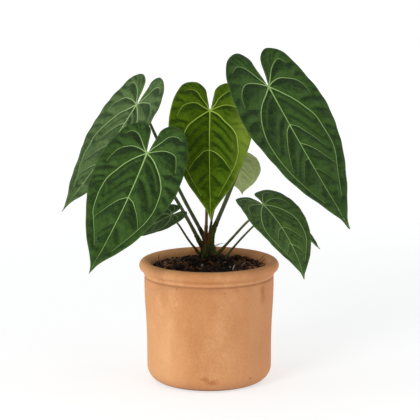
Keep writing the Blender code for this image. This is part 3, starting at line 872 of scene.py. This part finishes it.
def buildVeins(form, tree, finish, underneath):
    widths, places, strengths = [], [], []
    away = -0.5 if underneath else 0.5
    for line, wide, narrow, _, pale in form.veins:
        if underneath and pale < 0.3:
            continue
        spots = evenPath(line * form.long, leafBuild["ribSpacing"]) / form.long
        share = np.linspace(0, 1, len(spots))
        swell = 1.35 if underneath else 1.0
        widths.append((wide + (narrow - wide) * share**0.8) * swell * mm)
        places.append(spots)
        strengths.append(np.full(len(spots), pale) * (1 - 0.3 * share))
    spots = np.vstack(places)
    facings = form.facing(spots)
    skin = leafBuild["thickness"] * away + (-leafBuild["ribLift"] if underneath else leafBuild["ribLift"])
    reach = form.at(spots) + facings * skin * mm
    name = ("ribsUnder_" if underneath else "ribsUpper_") + form.name
    carrier = linesFrom(name + "Lines", np.split(reach, np.cumsum([len(line) for line in places])[:-1]))
    addVectors(carrier.data, "facing", facings * (2 * away))
    addValues(carrier.data, halfWidth=np.concatenate(widths), paleness=np.concatenate(strengths),
              placeU=spots[:, 0], placeV=spots[:, 1])
    piece = grow(name, carrier, tree, {
        "Rib Height": 0.75 if underneath else 0.6, "Sink": 0.32, "Finish": finish})
    mesh = piece.data
    count = len(mesh.vertices)
    spot = np.stack([readValues(mesh, label) for label in ("placeU", "placeV")], axis=1)
    pale = readValues(mesh, "paleness")
    mesh.attributes["vein"].data.foreach_set("value", readValues(mesh, "vein") * pale)
    for label in ("placeU", "placeV", "paleness", "halfWidth", "facing"):
        if label in mesh.attributes:
            mesh.attributes.remove(mesh.attributes[label])
    addValues(mesh, nearVein=pale, nap=np.zeros(count), under=np.full(count, underneath),
              inland=distanceTo(spot, form.edgeLine) * form.long / leafBuild["inlandReach"])
    mapLeaf(mesh, spot, form.long)
    return piece


leafFinishes = {
    "leafDark": dict(
        deep=(0.0035, 0.0145, 0.0017), light=(0.038, 0.091, 0.0095), vein=(0.3, 0.46, 0.15),
        edge=(0.05, 0.12, 0.02), under=(0.11, 0.18, 0.06), ribUnder=(0.27, 0.35, 0.16),
        sheenTint=(0.7, 1.0, 0.7), sheen=0.06, gloss=0.14, glow=0.1, sideLight=0.0),
    # painted light: a lighter copy of the dark leaf, for the leaves that sit in shade
    "leafShade": dict(
        deep=(0.008, 0.025, 0.004), light=(0.066, 0.128, 0.023), vein=(0.27, 0.4, 0.14),
        edge=(0.06, 0.13, 0.025), under=(0.12, 0.19, 0.06), ribUnder=(0.27, 0.35, 0.16),
        sheenTint=(0.8, 1.0, 0.8), sheen=0.08, gloss=0.16, glow=0.1, sideLight=0.0),
    # a pale underside, and an upper face painted lighter: painted sheen for a leaf that catches glancing
    # light, painted light for one in shade
    "leafPale": dict(
        deep=(0.0105, 0.031, 0.006), light=(0.079, 0.14, 0.035), vein=(0.33, 0.45, 0.19),
        edge=(0.1, 0.18, 0.045), under=(0.37, 0.46, 0.16), ribUnder=(0.48, 0.54, 0.26),
        sheenTint=(0.8, 1.0, 0.75), sheen=0.08, gloss=0.16, glow=0.12, sideLight=0.0),
    "leafYoung": dict(
        deep=(0.013, 0.036, 0.0006), light=(0.086, 0.156, 0.003), vein=(0.42, 0.56, 0.09),
        edge=(0.22, 0.31, 0.032), under=(0.13, 0.21, 0.03), ribUnder=(0.3, 0.38, 0.12),
        sheenTint=(0.8, 1.0, 0.4), sheen=0.02, gloss=0.06, glow=0.2, sideLight=0.95),
}


def leafFinish(name):
    look = leafFinishes[name]
    finish, tree, shader = newFinish(name)
    flat = put(tree, "ShaderNodeUVMap", uv_map="leafMap")
    value = {label: valueNamed(tree, label) for label in ("vein", "nearVein", "under", "inland", "nap")}
    place = objectPlace(tree)
    broad = cloud(place, 26.0, 3.0)
    warped = cloud(flat, 60.0, 2.0)
    net = put(tree, "ShaderNodeTexVoronoi", {"Vector": stretched(flat, (1.0, 1.35, 1.0)), "Scale": 34.0},
              feature="DISTANCE_TO_EDGE")["Distance"]
    netFine = put(tree, "ShaderNodeTexVoronoi", {"Vector": flat, "Scale": 105.0},
                  feature="DISTANCE_TO_EDGE")["Distance"]
    lines = remap(net + (warped - 0.5) * 0.05, 0.09, 0.0)
    linesFine = remap(netFine, 0.1, 0.0)
    lumps = cloud(flat, 15.0, 3.0, 0.6, 0.4)
    mottle = cloud(flat, 42.0, 4.0, 0.65, 0.3)
    # painted light and shade from the quilting's slopes, mixed with the leaf's own mottling
    tone = value["nap"] * 0.8 + lumps * 0.8 + broad * 0.3 + (mottle - 0.5) * 0.9
    colour = blend(remap(tone, 0.13, 1.06), look["deep"], look["light"])
    colour = blend(value["nearVein"] * 0.18, colour, look["light"])
    if look["sideLight"]:
        # the half that the light comes through is yellower towards its edge
        aside = remap(splitUp(flat)["Y"] * -1.0, 0.12, 0.27)
        colour = blend(aside * look["sideLight"], colour, look["edge"])
    colour = blend(lines * 0.34, colour, look["light"])
    colour = blend(linesFine * 0.12, colour, look["light"])
    colour = blend(remap(value["inland"], 0.09, 0.0) * 0.6, colour, look["edge"])
    back = blend(lines * 0.5, look["under"], [c * 1.35 for c in look["under"]])
    back = blend(remap(broad, 0.35, 0.65), back, [c * 0.86 for c in look["under"]])
    # painted shade: the underside is painted darker on the same slopes
    back = blend(remap(value["nap"], 0.0, 0.4) * 0.8, back, [c * 0.6 for c in look["under"]])
    colour = blend(value["under"], colour, back)
    rib = blend(value["under"], look["vein"], look["ribUnder"])
    colour = blend(remap(value["vein"], 0.05, 0.85), colour, rib)
    grain = cloud(flat, 900.0, 2.0, 0.7)
    relief = grain * 0.25 - lines * 0.7 - linesFine * 0.3 + lumps * 6.0
    wear(shader, colour, remap(broad, 0.2, 0.8, (0.46, 0.58)), look["gloss"], bumped(relief, 0.00028, 0.75))
    feed(shader, {
        "Sheen Weight": look["sheen"], "Sheen Roughness": 0.42, "Sheen Tint": (*look["sheenTint"], 1),
        "Subsurface Weight": look["glow"], "Subsurface Radius": (0.6, 1.0, 0.25),
        "Subsurface Scale": 0.0012})
    return finish


# Leaf stalks, round tubes along their paths

def stalkTree():
    tree, given, result = geometryTree("leafStalk", {"Sides": "Int", "Finish": "Material"})
    lines = curvesOf(given)
    ring = put(tree, "GeometryNodeCurvePrimitiveCircle", {
        "Resolution": given["Sides"], "Radius": 1.0}, mode="RADIUS")
    width = fieldNamed(tree, "halfWidth")
    tube = put(tree, "GeometryNodeCurveToMesh", {
        "Curve": lines, "Profile Curve": ring, "Scale": width, "Fill Caps": True})
    return closeTree(tube, given, result)


stalkFinishes = {
    "stalkGreen": dict(foot=(0.05, 0.058, 0.014), middle=(0.062, 0.085, 0.022), top=(0.085, 0.125, 0.034)),
    "stalkRed": dict(foot=(0.12, 0.05, 0.016), middle=(0.15, 0.062, 0.02), top=(0.16, 0.13, 0.03)),
    "stalkOlive": dict(foot=(0.045, 0.04, 0.014), middle=(0.06, 0.068, 0.018), top=(0.14, 0.17, 0.05)),
}


def stalkFinish(name):
    look = stalkFinishes[name]
    finish, tree, shader = newFinish(name)
    place = objectPlace(tree)
    along = valueNamed(tree, "along")
    streaks = cloud(stretched(place, (1, 1, 0.12)), 380.0, 3.0)
    flecks = cloud(place, 700.0, 2.0)
    colour = blend(remap(along, 0.05, 0.35), look["foot"], look["middle"])
    colour = blend(remap(along, 0.45, 0.97), colour, look["top"])
    colour = blend(remap(streaks, 0.35, 0.7) * 0.35, colour, [c * 1.6 for c in look["middle"]])
    colour = blend(remap(flecks, 0.66, 0.72) * 0.4, colour, (0.2, 0.18, 0.1))
    wear(shader, colour, remap(streaks, 0.2, 0.8, (0.38, 0.55)), 0.4, bumped(streaks, 0.0002, 0.5))
    return finish


def stalkPath(name):
    leaf = leaves[name]
    seat, start = np.array(leaf["seat"], dtype=float), np.array(leaf["start"], dtype=float)
    upper = leafAxes(leaf)[1]
    neck = seat - leaf["length"] * 0.075 * upper
    top = seat - 0.25 * upper
    return smoothPath([start, *map(np.array, leaf["route"]), neck, top], 14)


def buildStalk(name, tree, finish):
    leaf = leaves[name]
    path = stalkPath(name)
    first = path[0] - 2.0 * unit(path[1] - path[0])
    path = evenPath(np.vstack([first, path]), 1.6)
    share = np.linspace(0, 1, len(path))
    wide, narrow = leaf["stalk"]
    radii = wide + (narrow - wide) * share
    fromTop = (1 - share) * np.linalg.norm(np.diff(path, axis=0), axis=1).sum()
    radii += 0.32 * narrow * hump(fromTop - 6, 5)
    radii *= 1 + 0.03 * np.sin(share * 41 + len(name))
    carrier = linesFrom("stalkLine_" + name, [path * mm])
    addValues(carrier.data, halfWidth=radii * mm, along=share)
    piece = grow("leafStalk_" + name, carrier, tree, {"Sides": 18, "Finish": finish})
    piece.data.attributes.remove(piece.data.attributes["halfWidth"])
    settle(piece, "stalk_" + name)


def buildLeaves():
    ribs, stalks = veinRibTree(), stalkTree()
    finishes = {name: leafFinish(name) for name in leafFinishes}
    stalkLooks = {name: stalkFinish(name) for name in stalkFinishes}
    for name, leaf in leaves.items():
        form = LeafForm(name)
        finish = finishes[leaf["finish"]]
        settle(buildBlade(form), "blade_" + name, finish)
        for underneath in (False, True):
            settle(buildVeins(form, ribs, finish, underneath))
        look = {"centre": "stalkRed", "right_low": "stalkOlive", "right_hidden": "stalkOlive",
                "left_low": "stalkOlive"}.get(name, "stalkGreen")
        buildStalk(name, stalks, stalkLooks[look])
        print("leaf grown:", name)


# Soil: a rough bed with bark, crumbs, perlite and fibres on it

soil = {
    "edgeHeight": 122.5, "moundHeight": 131.5, "moundSpread": 26.0, "crownX": -1.0, "crownY": 15.0,
    "rings": 64, "segments": 190, "wallGap": 0.15, "coverRadius": 0.0605, "coverFoot": 0.118, "seed": 7,
}


def soilHeight(x, y):
    away = np.hypot(x - soil["crownX"], y - soil["crownY"])
    mound = (soil["moundHeight"] - soil["edgeHeight"]) * hump(away, soil["moundSpread"])
    return soil["edgeHeight"] + mound


def soilFinish(name, dark, light, pale):
    finish, tree, shader = newFinish(name)
    place = objectPlace(tree)
    tone = valueNamed(tree, "tone")
    lumps = cloud(place, 240.0, 5.0, 0.65)
    fine = cloud(place, 1100.0, 3.0, 0.7)
    # the mix is darker in the middle and lighter towards the wall
    aside = math("ABSOLUTE", splitUp(place)["X"])
    grainy = (lumps - 0.5) * 1.1 + remap(aside, 0.012, 0.042, (-0.15, 0.16))
    colour = blend(remap(tone + grainy, 0.42, 1.0), dark, light)
    colour = blend(remap(tone + grainy, 0.88, 1.15), colour, pale)
    wear(shader, colour, remap(lumps, 0.3, 0.7, (0.6, 0.92)), 0.14, bumped(lumps + fine * 0.5, 0.0006))
    return finish


def buildSoilBed():
    inside = potInside()
    lip = inside[0][0] - soil["wallGap"]
    points, rings = [], []

    def ring(radius, height):
        rings.append(len(points))
        for turn in turns(soil["segments"]):
            points.append((radius * cos(turn) * mm, radius * sin(turn) * mm, height * mm))

    for r, z in reversed(inside[1:-1]):
        ring(r - soil["wallGap"], z + 0.2 if r < 56.9 else z)
    ring(lip, soil["edgeHeight"] - 2.5)
    for i in range(soil["rings"]):
        ring(lip * (1 - i / soil["rings"]), 0)
        for p in range(rings[-1], len(points)):
            x, y = points[p][0] / mm, points[p][1] / mm
            rough = noise.fractal(Vector((x, y, 3)) * 0.16, 0.8, 2.2, 5) * 1.1
            rough += abs(noise.noise(Vector((x, y, 9)) * 0.42)) * 1.2
            points[p] = (x * mm, y * mm, float(soilHeight(x, y) + rough - 0.6) * mm)
    centreLow, centreTop = len(points), len(points) + 1
    points += [(0, 0, (pot["floorThickness"] + 0.2) * mm), (0, 0, float(soilHeight(0, 0)) * mm)]
    sides = soil["segments"]
    faces = ringFaces(rings, sides)
    faces += [(centreLow, rings[0] + (k + 1) % sides, rings[0] + k) for k in range(sides)]
    faces += [(rings[-1] + k, rings[-1] + (k + 1) % sides, centreTop) for k in range(sides)]
    bed = showMesh("soilBed", meshFrom("soilBed", points, faces))
    addValues(bed.data, tone=np.full(len(points), 0.25))
    finish = soilFinish("pottingSoil", (0.004, 0.003, 0.002), (0.022, 0.013, 0.008), (0.06, 0.036, 0.02))
    settle(bed, "soil", finish)
    print("soil bed laid")
    return bed


def roughLump(name, size, seed, steps, roughness):
    # a rounded box pulled about by noise, with sharp chips off its corners
    chance = random.Random(seed)
    mesh = bpy.data.meshes.new(name)
    lattice, points, faces = {}, [], []

    def corner(p):
        key = tuple(round(c, 4) for c in p)
        if key not in lattice:
            lattice[key] = len(points)
            points.append(Vector(p))
        return lattice[key]

    for axis in range(3):
        for way in (-1, 1):
            for i in range(steps):
                for j in range(steps):
                    quad = []
                    for a, b in ((0, 0), (1, 0), (1, 1), (0, 1)):
                        flat = [2 * (i + a) / steps - 1, 2 * (j + b) / steps - 1]
                        flat.insert(axis, way)
                        quad.append(corner(flat))
                    turn = (way == 1) != (axis == 1)
                    faces.append(quad if turn else quad[::-1])
    shift = Vector((chance.uniform(0, 50), chance.uniform(0, 50), chance.uniform(0, 50)))
    skew = chance.uniform(-0.35, 0.35)
    for p in points:
        q = p.lerp(p.normalized() * 1.25, 0.35)
        q += Vector([noise.noise(shift + p * 1.1 + Vector((7 * k, 0, 0))) for k in range(3)]) * roughness
        q.x += skew * q.z
        p[:] = (q.x * size[0], q.y * size[1], q.z * size[2])
    mesh.from_pydata([tuple(p) for p in points], [], faces)
    return showMesh(name, mesh)


def scatterTree():
    tree, given, result = geometryTree("soilCover", {
        "Pieces": "Collection", "Density": "Float", "Smallest": "Float", "Largest": "Float", "Tilt": "Float",
        "Rise": "Float", "Seed": "Int", "Finish": "Material"})
    split = splitUp(put(tree, "GeometryNodeInputPosition"))
    reach = awayFrom(joined(tree, split["X"], split["Y"], 0.0), (0, 0, 0))
    inside = put(tree, "FunctionNodeCompare", {0: reach, 1: soil["coverRadius"]}, operation="LESS_THAN")
    high = put(tree, "FunctionNodeCompare", {0: split["Z"], 1: soil["coverFoot"]}, operation="GREATER_THAN")
    both = put(tree, "FunctionNodeBooleanMath", {0: inside, 1: high}, operation="AND")
    spots = put(tree, "GeometryNodeDistributePointsOnFaces", {
        "Mesh": given["Geometry"], "Selection": both, "Density": given["Density"], "Seed": given["Seed"]},
        distribute_method="RANDOM")
    kinds = put(tree, "GeometryNodeCollectionInfo", {
        "Collection": given["Pieces"], "Separate Children": True, "Reset Children": True})
    turn = put(tree, "FunctionNodeRandomValue", {0: (-1, -1, 0), 1: (1, 1, 2 * pi), "Seed": given["Seed"]},
               data_type="FLOAT_VECTOR")
    tilt = joined(tree, given["Tilt"], given["Tilt"], 1.0)
    tip = put(tree, "ShaderNodeVectorMath", {0: turn, 1: tilt}, operation="MULTIPLY")
    size = put(tree, "FunctionNodeRandomValue", {
        2: given["Smallest"], 3: given["Largest"], "Seed": given["Seed"] + 5.0}, data_type="FLOAT")
    strewn = put(tree, "GeometryNodeInstanceOnPoints", {
        "Points": spots, "Instance": kinds, "Pick Instance": True, "Rotation": tip, "Scale": size[1]})
    lift = joined(tree, 0.0, 0.0, given["Rise"])
    raised = put(tree, "GeometryNodeTranslateInstances", {
        "Instances": strewn, "Translation": lift, "Local Space": False})
    shade = put(tree, "FunctionNodeRandomValue", {"Seed": given["Seed"] + 9.0}, data_type="FLOAT")
    toned = put(tree, "GeometryNodeStoreNamedAttribute", {
        "Geometry": raised, "Name": "tone", "Value": shade[1]}, data_type="FLOAT", domain="INSTANCE")
    return closeTree(toned, given, result, smooth=False)


soilCovers = {
    "barkChips": dict(kinds=6, size=(3.1, 1.15, 0.55), steps=3, rough=0.45, density=42000, scale=(0.45, 1.5),
                      tilt=0.55, rise=0.7, dark=(0.006, 0.003, 0.002), light=(0.15, 0.046, 0.016),
                      pale=(0.38, 0.18, 0.095)),
    "barkChunks": dict(kinds=4, size=(2.6, 2.1, 1.6), steps=4, rough=0.6, density=6500, scale=(0.5, 1.5),
                       tilt=1.2, rise=0.8, dark=(0.006, 0.004, 0.003), light=(0.045, 0.02, 0.01),
                       pale=(0.12, 0.05, 0.025)),
    "soilCrumbs": dict(kinds=4, size=(0.9, 0.75, 0.6), steps=2, rough=0.45, density=240000, scale=(0.5, 1.5),
                       tilt=1.5, rise=0.2, dark=(0.003, 0.002, 0.002), light=(0.026, 0.013, 0.007),
                       pale=(0.09, 0.05, 0.028)),
    "perliteGrains": dict(kinds=3, size=(0.85, 0.75, 0.7), steps=2, rough=0.5, density=1900,
                          scale=(0.6, 1.4), tilt=1.5, rise=0.9, dark=(0.4, 0.36, 0.3),
                          light=(0.62, 0.58, 0.5), pale=(0.5, 0.42, 0.34)),
    "bareFibres": dict(kinds=4, size=(4.6, 0.17, 0.15), steps=4, rough=0.8, density=15000, scale=(0.5, 1.4),
                       tilt=0.45, rise=1.4, dark=(0.09, 0.045, 0.028), light=(0.25, 0.15, 0.1),
                       pale=(0.42, 0.3, 0.22)),
}


def buildSoilCover(bed):
    tree = scatterTree()
    for number, (name, cover) in enumerate(soilCovers.items()):
        kinds = bpy.data.collections.new(name + "Kinds")
        bpy.context.scene.collection.children.link(kinds)
        for k in range(cover["kinds"]):
            size = [s * mm for s in cover["size"]]
            lump = roughLump(f"{name}Kind{k}", size, number * 20 + k, cover["steps"], cover["rough"])
            bpy.context.scene.collection.objects.unlink(lump)
            kinds.objects.link(lump)
        carrier = showMesh(name + "Bed", bed.data.copy())
        piece = grow(name, carrier, tree, {
            "Pieces": kinds, "Density": float(cover["density"]), "Smallest": cover["scale"][0],
            "Largest": cover["scale"][1], "Tilt": cover["tilt"], "Rise": cover["rise"] * mm,
            "Seed": soil["seed"] + number,
            "Finish": soilFinish(name + "Finish", cover["dark"], cover["light"], cover["pale"])})
        for lump in list(kinds.objects):
            bpy.data.objects.remove(lump, do_unlink=True)
        bpy.data.collections.remove(kinds)
        settle(piece)
        print("soil cover:", name, len(piece.data.polygons), "faces")


# Rootlets and dry bits laid one by one where they catch the eye: start, middle, end, half width, tone
soilBits = (
    ((18, 40, 126.5), (25, 19, 127.5), (33, 0, 125), 0.42, 0.8),
    ((34, -13, 126), (37, -2, 127.5), (40, 11, 126), 0.4, 0.95),
    ((25.2, -23, 124.5), (26.3, -18, 127.5), (27.8, -12, 128.5), 0.6, 1.1),
    ((-45, 13, 126), (-37, 22, 127.5), (-29, 11, 125.5), 0.4, 0.85),
    ((-40, -13, 125), (-31, -3, 127), (-20, -8, 125.5), 0.42, 0.8),
    ((-10, -27, 125), (-3, -18, 127), (4, -27, 124.8), 0.75, 0.55),
    ((36, 16, 125.5), (42, 6, 127.2), (47, -6, 125.2), 0.85, 0.6),
    ((30, -2, 125.5), (38, -7, 127), (48, -4, 125.2), 0.8, 0.5),
    ((52.5, 20, 123.5), (56.5, 23, 128), (60.2, 24, 132), 0.35, 0.7),
    ((54, 10, 123.5), (58, 13, 127), (61.4, 14, 131), 0.32, 0.6),
    ((-54, 21, 123), (-55, 19, 129), (-53.6, 15, 134.5), 0.35, 0.55),
    ((-48, 12, 123.5), (-48.5, 13, 129.5), (-46, 14, 133.5), 0.32, 0.75),
    ((-51, 4, 123.5), (-53, 5, 127), (-55, 7, 131), 0.3, 0.6),
    ((1.2, 5.6, 125), (1.5, 5, 129), (1.8, 5.2, 133.5), 0.55, 0.85),
    ((-2.6, 5.8, 125), (-3, 5.2, 128), (-2.5, 5.6, 131.5), 0.45, 0.8),
    ((5.5, 9, 144.6), (9.8, 8, 146.6), (16, 7.6, 147.6), 0.32, 0.15),
    ((5.2, 9.4, 143.4), (8.4, 8.4, 145), (11.6, 8, 147), 0.28, 0.3),
)


# Larger lumps of bark that stand out of the soil: place, half size, tone
soilLumps = (
    ((32, 24, 128), (3.0, 2.2, 2.9), 0.5),
    ((28, 26, 127), (2.6, 2.4, 2.2), 0.62),
    ((36, 22, 126), (3.0, 2.2, 1.8), 0.58),
    ((-20, -22, 125), (5.4, 2.4, 1.6), 0.8),
    ((44, -12, 124.5), (4.6, 2.2, 1.4), 0.75),
    ((-44, -2, 124.5), (4.4, 2.0, 1.5), 0.85),
)


def buildSoilLumps():
    finish = soilFinish("barkLumpFinish", (0.005, 0.003, 0.002), (0.1, 0.034, 0.014), (0.26, 0.11, 0.055))
    for number, (place, size, tone) in enumerate(soilLumps):
        lump = roughLump(f"barkLump{number}", [s * mm for s in size], 70 + number, 3, 0.75)
        for vertex in lump.data.vertices:
            vertex.co += Vector(place) * mm
        addValues(lump.data, tone=[tone] * len(lump.data.vertices))
        settle(lump, finish=finish)
    print("bark lumps laid")


def buildSoilBits():
    points, faces, tones = [], [], []
    for start, middle, end, width, tone in soilBits:
        path = smoothPath([start, middle, end], 7)
        share = np.linspace(-1, 1, len(path))
        more, sides = ringTube(path, width * (1.05 - 0.75 * np.abs(share)**3), 7)
        faces += [tuple(p + len(points) for p in face) for face in sides]
        points += list(more)
        tones += [tone] * len(more)
    piece = showMesh("looseRootlets", meshFrom("looseRootlets", np.array(points) * mm, faces))
    addValues(piece.data, tone=tones)
    finish = soilFinish("rootletFinish", (0.02, 0.012, 0.009), (0.14, 0.055, 0.03), (0.42, 0.27, 0.19))
    settle(piece, finish=finish)
    print("rootlets laid")


# Crown: the short stem with its sheathed stubs, melted into one knobbly lump

crown = {
    "axis": (-1.0, 15.0), "voxel": 0.55, "softening": (0.6, 4),
    # height and half width of the stem
    "stem": ((118, 9.2), (128, 9.0), (136, 8.6), (142, 7.8), (148, 6.2), (152, 3.2)), "stemSides": 28,
    "roots": {"left_back": (-2, 18, 142), "left_front": (-3, 14, 139), "centre": (-2, 14, 145),
              "right": (1, 13, 144), "right_low": (-1, 13, 133), "left_low": (-1, 15, 131.5),
              "back": (0, 17, 144)},
    "sheathSpan": (-4, 9), "paleBase": (0.0115, 0.0075, 0.1295), "flare": (1.85, 1.06), "roughness": 0.6,
    # turn, reach and half width of each root stub
    "rootStubs": ((-95, 12, 1.5), (-60, 13.5, 1.3), (-128, 13, 1.4), (-25, 14, 1.7), (10, 13, 1.2),
                  (170, 13, 1.5), (-160, 12, 1.6), (70, 12, 1.4), (125, 13, 1.3)),
    "stubHeights": (138, 131, 123), "stubInset": 4,
}


def ringTube(path, radii, sides=20):
    points = []
    side = np.array([1.0, 0.2, 0.1])
    for i, centre in enumerate(path):
        along = unit(path[min(i + 1, len(path) - 1)] - path[max(i - 1, 0)])
        side = unit(side - side @ along * along)
        over = np.cross(along, side)
        points += [centre + radii[i] * (cos(turn) * side + sin(turn) * over) for turn in turns(sides)]
    return points, ringFaces(range(0, len(points), sides), sides, capped=True)


def crownFinish():
    finish, tree, shader = newFinish("crownSheath")
    place = objectPlace(tree)
    strands = cloud(stretched(place, (1, 1, 0.14)), 620.0, 4.0, 0.6, 0.6)
    patch = cloud(place, 150.0, 3.0)
    split = splitUp(place)
    height, side = split["Z"], split["X"]
    colour = blend(remap(strands, 0.35, 0.68), (0.012, 0.016, 0.003), (0.085, 0.1, 0.018))
    # rusty where the young stalk's sheath comes up, olive on both flanks
    middle = band(side, -0.0085, -0.004, -0.0005, 0.0035) * remap(height, 0.143, 0.152)
    colour = blend(middle * 0.85, colour, (0.13, 0.05, 0.012))
    colour = blend(remap(patch, 0.5, 0.66) * 0.6, colour, (0.05, 0.02, 0.008))
    low = remap(height, 0.142, 0.131) * remap(strands, 0.62, 0.48)
    colour = blend(low, colour, (0.007, 0.007, 0.003))
    # the two low stalks come out of yellowish bases on the right
    pale = remap(awayFrom(place, crown["paleBase"]), 0.0065, 0.002) * remap(patch, 0.3, 0.6)
    colour = blend(pale, colour, (0.13, 0.14, 0.035))
    wear(shader, colour, 0.62, 0.09, bumped(strands, 0.0006))
    return finish


def buildCrown():
    points, faces = [], []

    def add(more):
        shift = len(points)
        points.extend(more[0])
        faces.extend([tuple(p + shift for p in face) for face in more[1]])

    axis = np.array([*crown["axis"], 0.0])
    heights, widths = zip(*crown["stem"])
    add(ringTube(np.array([axis + (0, 0, height) for height in heights]), widths, crown["stemSides"]))
    below, above = crown["sheathSpan"]
    for name, root in crown["roots"].items():
        leaf = leaves[name]
        start = np.array(leaf["start"], dtype=float)
        heading = unit(np.array(leaf["route"][0]) - start)
        path = smoothPath([np.array(root, dtype=float), start + below * heading, start + above * heading], 6)
        flare = np.linspace(*crown["flare"], len(path)) * leaf["stalk"][0]
        add(ringTube(path, flare))
    for turn, reach, wide in crown["rootStubs"]:
        out = np.array([cos(radians(turn)), sin(radians(turn)), 0])
        reaches = (crown["stubInset"], reach - crown["stubInset"], reach)
        path = smoothPath([axis + far * out + (0, 0, height)
                           for far, height in zip(reaches, crown["stubHeights"])], 5)
        add(ringTube(path, np.linspace(wide, wide * 0.6, len(path))))
    lump = showMesh("crownLump", meshFrom("crownLump", np.array(points) * mm, faces))
    melt = lump.modifiers.new("melt", "REMESH")
    melt.mode = "VOXEL"
    melt.voxel_size = crown["voxel"] * mm
    soften = lump.modifiers.new("soften", "SMOOTH")
    soften.factor, soften.iterations = crown["softening"]
    melted = applied(lump)
    bpy.data.objects.remove(lump, do_unlink=True)
    for vertex in melted.vertices:
        spot = Vector((vertex.co.x, vertex.co.y, vertex.co.z * 0.35)) / mm
        push = noise.noise(spot * 0.55) + 0.5 * noise.noise(spot * 1.3)
        vertex.co += vertex.normal * push * crown["roughness"] * mm
    melted.shade_smooth()
    piece = showMesh("crownStem", melted)
    piece.data.materials.clear()
    settle(piece, "crown", crownFinish())
    print("crown melted", len(melted.polygons), "faces")


sheaths = {
    "width": 3.1, "thickness": 0.35, "across": 8, "steps": 14, "seed": 3,
    # distance from the crown's axis, turn, foot and length of each
    "at": ((8.2, -100, 126, 11), (8.4, -58, 125, 13), (8.3, -142, 126, 15), (8.0, 150, 127, 19),
           (8.2, 20, 126, 16)),
}


def buildSheaths():
    # dry papery scale leaves that clasp the crown, each a pointed curved strip
    finish, tree, shader = newFinish("drySheath")
    place = objectPlace(tree)
    strands = cloud(stretched(place, (1, 1, 0.1)), 900.0, 3.0, 0.6)
    colour = blend(remap(strands, 0.35, 0.7), (0.016, 0.011, 0.005), (0.09, 0.05, 0.02))
    wear(shader, colour, 0.65, 0.14, bumped(strands, 0.0003))
    points, faces = [], []
    chance = random.Random(sheaths["seed"])
    across, steps = sheaths["across"], sheaths["steps"]
    for radius, turn, foot, length in sheaths["at"]:
        shift = len(points)
        lean = chance.uniform(0.03, 0.12)
        for i in range(steps + 1):
            t = i / steps
            half = sheaths["width"] * (1 - t**2.2) ** 0.8 + 0.15
            out = radius + lean * length * t**2 - 1.2 * t
            for k in range(across + 1):
                s = 2 * k / across - 1
                angle = radians(turn) + s * half / radius + 0.12 * sin(t * 5 + foot)
                curl = 0.5 * abs(s) * t
                points.append(((crown["axis"][0] + (out + curl) * cos(angle)) * mm,
                               (crown["axis"][1] + (out + curl) * sin(angle)) * mm,
                               (foot + length * t - 0.8 * s * s * t) * mm))
        row = across + 1
        faces += [(shift + i * row + k, shift + i * row + k + 1, shift + (i + 1) * row + k + 1,
                   shift + (i + 1) * row + k) for i in range(steps) for k in range(across)]
    piece = showMesh("drySheaths", meshFrom("drySheaths", points, faces))
    skin = piece.modifiers.new("skin", "SOLIDIFY")
    skin.thickness = sheaths["thickness"] * mm
    piece.data = applied(piece)
    settle(piece, finish=finish)
    print("dry sheaths added")


buildStudio()
buildPot()
buildSoilCover(buildSoilBed())
buildSoilBits()
buildSoilLumps()
buildCrown()
buildSheaths()
buildLeaves()
